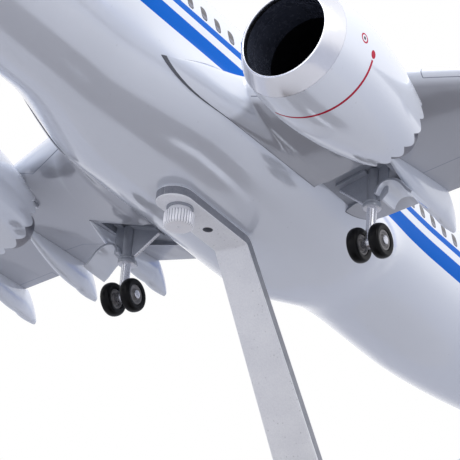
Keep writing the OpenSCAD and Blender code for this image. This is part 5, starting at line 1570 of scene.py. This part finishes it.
@dataclass(frozen=True)
class Lacquer(Finish):
    """Glossy sprayed lacquer; the decorate method adds what is printed or scribed on it."""

    name: str = "lacquer_plain"
    colour: Colour = rgb(0.78, 0.815, 0.885)
    line: Colour = rgb(0.27, 0.29, 0.35)
    dust_tone: Colour = rgb(0.30, 0.30, 0.33)
    gloss: float = 0.14
    metallic: float = 0.28
    dust: float = 0.15
    ripple: float = 0.30
    ripple_depth: float = 0.02
    coat: float = 0.6

    def decorate(self, g: Graph, fx: SharedEffects, at: list[Value], colour: Value) -> Look:
        """Adds prints and scribed lines.

        Args:
            g: the material's graph.
            fx: shared node groups.
            at: aircraft X, Y and Z in millimetres.
            colour: the lacquer's own colour.

        Returns:
            The colour with prints, a mask of scribed lines or None, and a mask of matt print.
        """
        return colour, None, 0.0

    def scribe(self, g: Graph, fx: SharedEffects, distance: Value, half: float) -> Value:
        """The mask of a scribed line where a distance is 0."""
        return g.call(fx.scribe, {"Distance": distance, "Half width": half})["Line"]

    def make(self, effects: SharedEffects) -> Material:
        """Lays out the lacquer with its ripple, dust, gloss patches and decoration."""
        material, g, shader, v = self.start()
        paint = g.call(effects.sprayed, {"Vector": v, "Ripple": self.ripple, "Dust": self.dust, "Gloss": self.gloss})
        cloud = g.span(g.noise(v, 0.02), 0.3, 0.7)
        base = g.mix(cloud, self.colour, darker(self.colour, 0.965))
        colour, cut, printed = self.decorate(g, effects, g.split(v), base)
        height = paint["Height"]
        if cut is not None:
            colour = g.mix(cut, colour, self.line)
            height = height - cut * 2.0
        bare = 1.0 - printed
        g.feed(shader, {"Base Color": g.mix(paint["Fleck"] * bare, colour, self.dust_tone),
                        "Roughness": paint["Roughness"], "Normal": g.bump(height, 0.25, self.ripple_depth),
                        "Coat Weight": bare * self.coat, "Metallic": bare * self.metallic,
                        "Specular IOR Level": 0.06, "Coat Roughness": 0.05, "Coat IOR": 1.6})
        return material


@dataclass(frozen=True)
class HullLacquer(Lacquer):
    """Lacquer with two blue stripes, printed cabin windows, doors and a windscreen."""

    name: str = "lacquer_hull"
    blue: Colour = rgb(0.0, 0.115, 0.53)
    thick: Pair = (-4.69, -0.21)
    thin: Pair = (2.20, 4.26)
    window_z: float = 6.7
    window_x: float = 62.6
    window_pitch: float = 6.06
    window: Pair = (1.32, 1.95)
    cabin: Pair = (-121.0, 178.0)
    cabin_y: float = 14.0
    stripe_front: float = 198.0
    stripe_lean: float = 1.6
    screen_x: Pair = (199.0, 212.5)
    screen_z: Pair = (3.2, 8.8)
    post: Pair = (205.2, 0.35)
    doors: Pair = (186.0, -131.0)
    door_z: float = 1.5
    door_half: Pair = (3.4, 8.2)
    door_y: float = 10.0

    def decorate(self, g: Graph, fx: SharedEffects, at: list[Value], colour: Value) -> Look:
        """Stripes follow the tail's rise; windows repeat along X; door outlines are thin grey lines."""
        x, y, z = at
        t = ((HULL.tail_from - x) / HULL.tail_len).at_least(0.0)
        h = z - t ** 1.4 * HULL.tail_rise
        stripes = (g.band(h, *self.thick) + g.band(h, *self.thin)) * (x + h * self.stripe_lean < self.stripe_front)
        colour = g.mix(stripes, colour, self.blue)
        turn = (x - self.window_x) / self.window_pitch + 0.5
        dz = z - self.window_z
        shape = g.oval((turn.math("FRACT") - 0.5) * self.window_pitch, dz, *self.window, 3.2)
        # The glass is painted darker at the top and lighter bluish grey towards the bottom: a painted reflection.
        glass_painted_reflection = g.mix(g.span(dz, -0.9, -0.1, 1.0, 0.0), rgb(0.030, 0.028, 0.034), rgb(0.15, 0.16, 0.21))
        window = g.mix(shape < 0.5, rgb(0.045, 0.047, 0.055), glass_painted_reflection)
        colour = g.mix((shape < 1.0) * g.band(x, *self.cabin) * (abs(y) > self.cabin_y), colour, window)
        panes = g.band(x, *self.screen_x) * g.band(z, *self.screen_z)
        panes = panes * (abs(y) > self.post[1]) * (1.0 - g.near(x, *self.post))
        colour = g.mix(panes, colour, rgb(0.02, 0.022, 0.028))
        outlines = [g.band(g.oval(x - door, z - self.door_z, *self.door_half, 6.0), 0.86, 1.0)
                    * (abs(y) > self.door_y) for door in self.doors]
        return colour, outlines[0].at_least(outlines[1]) * 0.8, stripes


@dataclass(frozen=True)
class WingLacquer(Lacquer):
    """Lacquer with scribed slat, flap and aileron lines, and a greyer underside."""

    name: str = "lacquer_wing"
    under: Colour = rgb(0.45, 0.465, 0.51)
    glove_y: float = 33.0
    glove_z: float = -10.5
    lines_from: float = 28.0
    slat_in: Point = (32.5, 2.2, 0.11)
    slat_turn: Point = (47.5, 3.9, -0.4)
    slat_gap: float = 57.5
    slat_out: float = 1.2
    slat_ends: tuple[float, ...] = (63.5, 95.0, 127.0, 159.0, 190.0)
    hinge_x: float = -7.4
    hinge_turn: float = 58.0
    hinge_sweep: float = 0.405
    flap_end: float = 74.0
    flap_depth: float = 8.9
    past_edge: float = -2.0
    aileron_depth: float = 2.8
    aileron_ends: tuple[float, ...] = (80.0, 118.0, 178.0)
    half: float = 0.08

    def decorate(self, g: Graph, fx: SharedEffects, at: list[Value], colour: Value) -> Look:
        """Lines run a set distance behind the leading edge and ahead of the trailing edge, with gaps."""
        x, y, z = at
        wing = Wing()
        out = abs(y)
        le_slope, te_slope = tan(wing.le_sweep), tan(wing.te_sweep)
        behind = wing.le_root + le_slope * wing.root_y - out * le_slope - x
        ahead = x - (-wing.te_root - (out - wing.kink_y).at_least(0.0) * te_slope)
        swept = ((out - self.hinge_turn) * self.hinge_sweep).at_least(0.0)

        def slant(start: float, depth: float, slope: float) -> Value:
            """Distance behind the leading edge, less depth + slope * (y - start)."""
            return behind - (depth - slope * start) - out * slope

        outer, last = self.slat_ends[0], self.slat_ends[-1]
        runs = [(slant(*self.slat_in), out, self.lines_from, self.slat_turn[0]),
                (slant(*self.slat_turn), out, self.slat_turn[0], self.slat_gap),
                (behind - self.slat_out, out, outer, last),
                (x - self.hinge_x + swept, out, self.lines_from, self.flap_end),
                (ahead - self.aileron_depth, out, self.aileron_ends[0], self.aileron_ends[-1]),
                (out - self.flap_end, ahead, self.past_edge, self.flap_depth)]
        runs += [(out - station, behind, self.past_edge, self.slat_out) for station in self.slat_ends]
        runs += [(out - station, ahead, self.past_edge, self.aileron_depth) for station in self.aileron_ends]
        lines = None
        for distance, along, low, high in runs:
            line = self.scribe(g, fx, distance, self.half) * g.band(along, low, high)
            lines = line if lines is None else lines.at_least(line)
        below = g.span(z, self.glove_z - 2.0, self.glove_z, 1.0, 0.0)
        under = below.at_least(g.span(out, self.glove_y, self.glove_y + 8.0))
        return g.mix(g.span(behind, 1.0, 4.0) * under, colour, self.under), lines, 0.0


@dataclass(frozen=True)
class CowlLacquer(Lacquer):
    """Lacquer with the red part ring and marks of the nacelle."""

    name: str = "lacquer_cowl"
    red: Colour = rgb(0.44, 0.02, 0.05)
    ring_x: float = 61.6
    ring_lean: float = 0.14
    ring_half: float = 0.33
    arc: Pair = (-124.0, -10.0)
    reach: float = 14.0
    spot: Pair = (59.5, -1.1)
    ring: Pair = (63.25, 1.1)

    def decorate(self, g: Graph, fx: SharedEffects, at: list[Value], colour: Value) -> Look:
        """A thin red arc round the lower outboard half, a red spot at its end and a small red ring."""
        x, y, z = at
        engine = Engine()
        out = abs(y) - engine.y
        angle = (z - engine.z).math("ARCTAN2", out)
        arc = g.near(x, self.ring_x - out * self.ring_lean, self.ring_half)
        arc = arc * g.band(angle, *(math.radians(a) for a in self.arc))
        turn = angle * self.reach
        spot = g.oval(x - self.spot[0], turn - self.spot[1], 0.85, 1.0, 2.0) < 1.0
        eye = g.oval(x - self.ring[0], turn - self.ring[1], 1.25, 1.25, 2.0)
        marks = (arc + spot + g.band(eye, 0.45, 1.0)).at_most(1.0)
        return g.mix(eye < 0.12, g.mix(marks, colour, self.red), rgb(0.05, 0.05, 0.06)), None, marks * 0.7


@dataclass(frozen=True)
class TailLacquer(Lacquer):
    """Lacquer with a scribed rudder and elevator line, both slanted by 0.42 of the way out."""

    name: str = "lacquer_tail"
    rudder: Pair = (-210.0, 26.0)
    elevator: float = -217.0
    slant: float = 0.42
    rudder_z: Pair = (32.0, 97.0)
    elevator_from: float = 16.0
    half: float = 0.08

    def decorate(self, g: Graph, fx: SharedEffects, at: list[Value], colour: Value) -> Look:
        """The rudder line runs up the fin, the elevator line out along each tailplane."""
        x, y, z = at
        out = abs(y)
        up = x - (self.rudder[0] - (z - self.rudder[1]) * self.slant)
        along = x - (self.elevator - out * self.slant)
        rudder = self.scribe(g, fx, up, self.half) * g.band(z, *self.rudder_z)
        elevator = self.scribe(g, fx, along, self.half) * g.band(out, self.elevator_from, Tail().plane_span - 3)
        return colour, rudder.at_least(elevator), 0.0


@dataclass(frozen=True)
class Metal(Finish):
    """A metal or dark coating with grain, clouds and pits."""

    name: str = "metal"
    light: Colour = rgb(0.6, 0.6, 0.62)
    dark: Colour = rgb(0.4, 0.4, 0.42)
    metallic: float = 1.0
    gloss: float = 0.3
    gloss_spread: float = 0.1
    stretch: Point = (1.0, 1.0, 1.0)
    grain: float = 4.0
    clouds: float = 0.3
    pits: float = 0.0
    pit_size: float = 1.6
    depth: float = 0.02
    coat: float = 0.0
    level: bool = True
    specular: float = 0.5

    def make(self, effects: SharedEffects) -> Material:
        """Lays out the grain in colour, gloss and height."""
        material, g, shader, v = self.start(self.level)
        grain = g.call(effects.grain, {"Vector": g.stretch(v, self.stretch), "Grain": self.grain,
                                       "Clouds": self.clouds, "Pits": self.pits, "Pit size": self.pit_size})
        tone = g.span(grain["Tone"], 0.25, 0.75) * 0.6 + g.span(grain["Cloud"], 0.3, 0.7) * 0.4
        colour = g.mix(grain["Pit"] * 0.55, g.mix(tone, self.dark, self.light), darker(self.dark, 0.5))
        rough = g.span(grain["Tone"], 0.2, 0.8, self.gloss - self.gloss_spread, self.gloss + self.gloss_spread)
        g.feed(shader, {"Base Color": colour, "Roughness": rough, "Normal": g.bump(grain["Height"], 0.6, self.depth),
                        "Metallic": self.metallic, "Coat Weight": self.coat,
                        "Specular IOR Level": self.specular, "Coat Roughness": 0.05})
        return material


@dataclass(frozen=True)
class Walnut(Finish):
    """Dark wood under satin varnish."""

    name: str = "board_wood"
    light: Colour = rgb(0.060, 0.036, 0.024)
    dark: Colour = rgb(0.020, 0.012, 0.009)
    pore: Colour = rgb(0.010, 0.005, 0.003)

    def make(self, effects: SharedEffects) -> Material:
        """Growth bands bent by noise along X, with fine pores."""
        material, g, shader, v = self.start(False)
        long = g.stretch(v, (0.08, 1.0, 1.0))
        bands = {"Vector": long, "Scale": 0.09, "Distortion": 6.0, "Detail": 3.0, "Detail Scale": 1.2}
        wave = g.out(g.put("ShaderNodeTexWave", bands, wave_type="BANDS", bands_direction="Y"), "Fac")
        grain = g.call(effects.grain, {"Vector": long, "Grain": 2.4, "Clouds": 0.10, "Pits": 0.6, "Pit size": 1.4})
        tone = wave * 0.6 + grain["Tone"] * 0.5
        colour = g.mix(grain["Pit"], g.mix(g.span(tone, 0.2, 0.9), self.dark, self.light), self.pore)
        g.feed(shader, {"Base Color": colour, "Roughness": g.span(grain["Tone"], 0.2, 0.8, 0.30, 0.42),
                        "Normal": g.bump(grain["Height"], 0.4, 0.04), "Coat Weight": 0.4, "Coat Roughness": 0.18})
        return material


@dataclass(frozen=True)
class Felt(Finish):
    """Pressed felt with a soft nap."""

    name: str = "felt_black"
    light: Colour = rgb(0.035, 0.035, 0.040)
    dark: Colour = rgb(0.008, 0.008, 0.010)

    def make(self, effects: SharedEffects) -> Material:
        """Two sizes of fibre noise in colour and height."""
        material, g, shader, v = self.start(False)
        grain = g.call(effects.grain, {"Vector": v, "Grain": 6.0, "Clouds": 0.8, "Pits": 0.3, "Pit size": 3.0})
        tone = grain["Tone"] * 0.7 + grain["Cloud"] * 0.3
        g.feed(shader, {"Base Color": g.mix(g.span(tone, 0.3, 0.7), self.dark, self.light),
                        "Normal": g.bump(grain["Height"], 0.8, 0.15), "Roughness": 0.95, "Sheen Weight": 0.3})
        return material


class Coat(Enum):
    """The finishes on the finish rack, each with its recipe."""

    LACQUER = Lacquer()
    HULL = HullLacquer()
    WING = WingLacquer()
    COWL = CowlLacquer()
    TAIL = TailLacquer()
    SHADOW = Metal("seam_shadow", rgb(0.13, 0.135, 0.155), rgb(0.09, 0.095, 0.11), 0.0, 0.7, 0.1)
    CHROME = Metal("intake_chrome", rgb(0.88, 0.89, 0.94), rgb(0.83, 0.84, 0.89), 1.0, 0.20, 0.03, (0.5, 1, 1),
                   1.5, 0.2, depth=0.0005)
    DUCT = Metal("duct_dark", rgb(0.050, 0.056, 0.078), rgb(0.026, 0.030, 0.044), 0.0, 0.24, 0.08, grain=0.8,
                 depth=0.01, coat=0.5)
    # Near-black painted shade for the deep intake and the fan.
    RECESS = Metal("recess_black", rgb(0.006, 0.006, 0.008), rgb(0.002, 0.002, 0.003), 0.0, 0.42, 0.10, grain=1.2,
                   depth=0.01, specular=0.15)
    ENGINE = Metal("engine_satin", rgb(0.34, 0.34, 0.37), rgb(0.22, 0.22, 0.25), 1.0, 0.36, 0.08, (0.3, 1, 1), 5.0)
    GEAR = Metal("gear_satin", rgb(0.40, 0.42, 0.47), rgb(0.30, 0.32, 0.36), 0.45, 0.34, 0.08, depth=0.006)
    SHEET = Metal("brace_sheet", rgb(0.38, 0.40, 0.45), rgb(0.28, 0.30, 0.35), 0.25, 0.40, 0.08, grain=2.5, depth=0.01)
    POLISHED = Metal("polished_pin", rgb(0.74, 0.75, 0.80), rgb(0.64, 0.65, 0.70), 0.9, 0.28, 0.05, grain=5.0,
                     depth=0.003)
    TYRE = Metal("tyre_black", rgb(0.0035, 0.0035, 0.004), rgb(0.002, 0.002, 0.0025), 0.0, 0.34, 0.04, grain=1.5,
                 depth=0.001, coat=0.02, specular=0.15)
    HUB = Metal("hub_dark", rgb(0.24, 0.23, 0.23), rgb(0.17, 0.165, 0.165), 0.4, 0.40, 0.06, grain=2.0, depth=0.003)
    STAND = Metal("stand_blasted", rgb(0.97, 0.98, 1.0), rgb(0.83, 0.84, 0.88), 0.1, 0.42, 0.10, (1, 1, 1), 2.2,
                  0.12, 0.8, 0.9, 0.07, level=False)
    # Darker grey painted shade for the stand bar's side faces, the walls of its holes and the knurl grooves.
    EDGE = Metal("edge_dark", rgb(0.34, 0.35, 0.39), rgb(0.22, 0.23, 0.26), 0.3, 0.40, 0.08, grain=2.2, level=False)
    SCREW = Metal("screw_bright", rgb(0.96, 0.96, 0.98), rgb(0.90, 0.90, 0.94), 0.35, 0.30, 0.03, (1, 1, 1), 0.8,
                  0.6, depth=0.0003)
    BRASS = Metal("insert_brass", rgb(0.72, 0.46, 0.17), rgb(0.56, 0.34, 0.11), 1.0, 0.3, 0.08, (1, 1, 0.3), 5.0)
    WOOD = Walnut()
    FELT = Felt()


class FinishRack:
    """Makes each finish once and hands it out."""

    def __init__(self) -> None:
        """Starts with the shared effects and no finish made."""
        self.effects = SharedEffects()
        self.made: dict[Coat, Material] = {}

    def of(self, coat: Coat) -> Material:
        """The material of a finish, made on first use."""
        if coat not in self.made:
            self.made[coat] = coat.value.make(self.effects)
        return self.made[coat]


@dataclass(frozen=True)
class Lamp:
    """A soft square lamp that shines at the middle of the aircraft."""

    name: str
    spot: Point
    power: float
    size: float
    aim: Point = (0.0, 0.0, 0.15)

    def hang(self) -> None:
        """Puts the lamp in the scene, in metres, turned to what it shines at."""
        data = bpy.data.lights.new(self.name, "AREA")
        data.energy, data.size, data.color = self.power, self.size, (1.0, 1.0, 1.0)
        spot = Vector(self.spot)
        turn = (spot - Vector(self.aim)).normalized().to_track_quat("Z", "Y")
        place(self.name, data).matrix_world = Matrix.Translation(spot) @ turn.to_matrix().to_4x4()


@dataclass(frozen=True)
class Studio:
    """Camera at the photograph's angle, soft white light, a pale floor under the board."""

    camera: Point = (571.33079, 367.28219, -109.77945)
    right: Point = (-0.543749607, 0.839247471, -0.000214943)
    up: Point = (0.29622188, 0.19216219, 0.93558874)
    lens: float = 224.1
    floor_r: float = 250.0
    floor_gap: float = 0.02
    floor: Colour = rgb(0.45, 0.45, 0.47)
    sky: Colour = rgb(1.0, 1.0, 1.04)
    ground: Colour = rgb(0.54, 0.56, 0.65)
    lamps: tuple[Lamp, ...] = (Lamp("key", (0.35, 0.75, 0.95), 7.0, 0.7), Lamp("fill", (0.8, -0.5, 0.7), 3.0, 0.9))

    def place_camera(self) -> None:
        """The camera of the photograph, with its optical axis through the middle of the frame."""
        data = bpy.data.cameras.new("camera")
        data.lens, data.sensor_width, data.clip_start, data.clip_end = self.lens, 36.0, 0.01, 20.0
        right, up = Vector(self.right), Vector(self.up)
        turn = Matrix((right, up, right.cross(up))).transposed().to_4x4()
        camera = place("camera", data)
        camera.matrix_world = Matrix.Translation(Vector(self.camera) * MM) @ turn
        bpy.context.scene.camera = camera

    def lay_floor(self) -> None:
        """A round pale floor a hair below the board: rings of equal angle steps, with a rounded rim."""
        r = self.floor_r
        line = np.array([[-3.0, r - 1], [-2.0, r], [-0.6, r], [0.0, r - 1.0]]) - [self.floor_gap, 0.0]
        floor = place("floor", Shell(stance=None).turned(line, (0.0, 0.0, 0.0), "z", 128).mesh("floor"))
        material = bpy.data.materials.new("floor_pale")
        material.use_nodes = True
        g = Graph(material.node_tree)
        tone = g.span(g.noise(g.out(g.put("ShaderNodeTexCoord"), "Object"), 9.0, 3.0), 0.3, 0.7)
        g.feed(material.node_tree.nodes["Principled BSDF"],
               {"Base Color": g.mix(tone, self.floor, darker(self.floor, 0.97)), "Roughness": 0.7})
        floor.data.materials.append(material)

    def light(self) -> None:
        """A white dome that turns lavender grey below the horizon, and the lamps."""
        scene = bpy.context.scene
        scene.view_settings.view_transform = "Standard"
        scene.world = world = bpy.data.worlds.new("studio")
        world.use_nodes = True
        g = Graph(world.node_tree)
        height = g.split(g.out(g.put("ShaderNodeTexCoord"), "Generated"))[2]
        colour = g.mix(g.span(height, -0.30, 0.22), self.ground, self.sky)
        seen = g.out(g.put("ShaderNodeLightPath"), "Is Camera Ray")
        g.feed(world.node_tree.nodes["Background"], {"Color": g.mix(seen, colour, rgb(1.0, 1.0, 1.0))})
        for lamp in self.lamps:
            lamp.hang()

    def set_up(self) -> None:
        """Places the camera, the floor and the light."""
        self.place_camera()
        self.lay_floor()
        self.light()
        log.info("studio: camera, floor and light are set")


def dress_kept(rack: FinishRack) -> None:
    """Finishes the node that keeps its own shape."""
    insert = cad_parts["belly_insert"]
    insert.data.materials.clear()
    insert.data.materials.append(rack.of(Coat.BRASS))
    log.info("belly_insert: kept, finish %s", Coat.BRASS.value.name)


def main() -> None:
    """Builds and dresses every sub-assembly in order, then sets up the studio."""
    logging.basicConfig(level=logging.INFO, format="%(name)s: %(message)s")
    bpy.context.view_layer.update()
    rack = FinishRack()
    assemblies: list[Assembly] = [HULL, Tail()]
    for side in Side:
        wing = Wing(side)
        assemblies += [wing, Engine(side, wing), MainGear(side, wing)]
    assemblies += [NoseGear(), STAND, ThumbScrew(), Board()]
    for assembly in assemblies:
        Assembly.dress(assembly.build(), rack)
    dress_kept(rack)
    Studio().set_up()


if __name__ == "__main__":
    main()
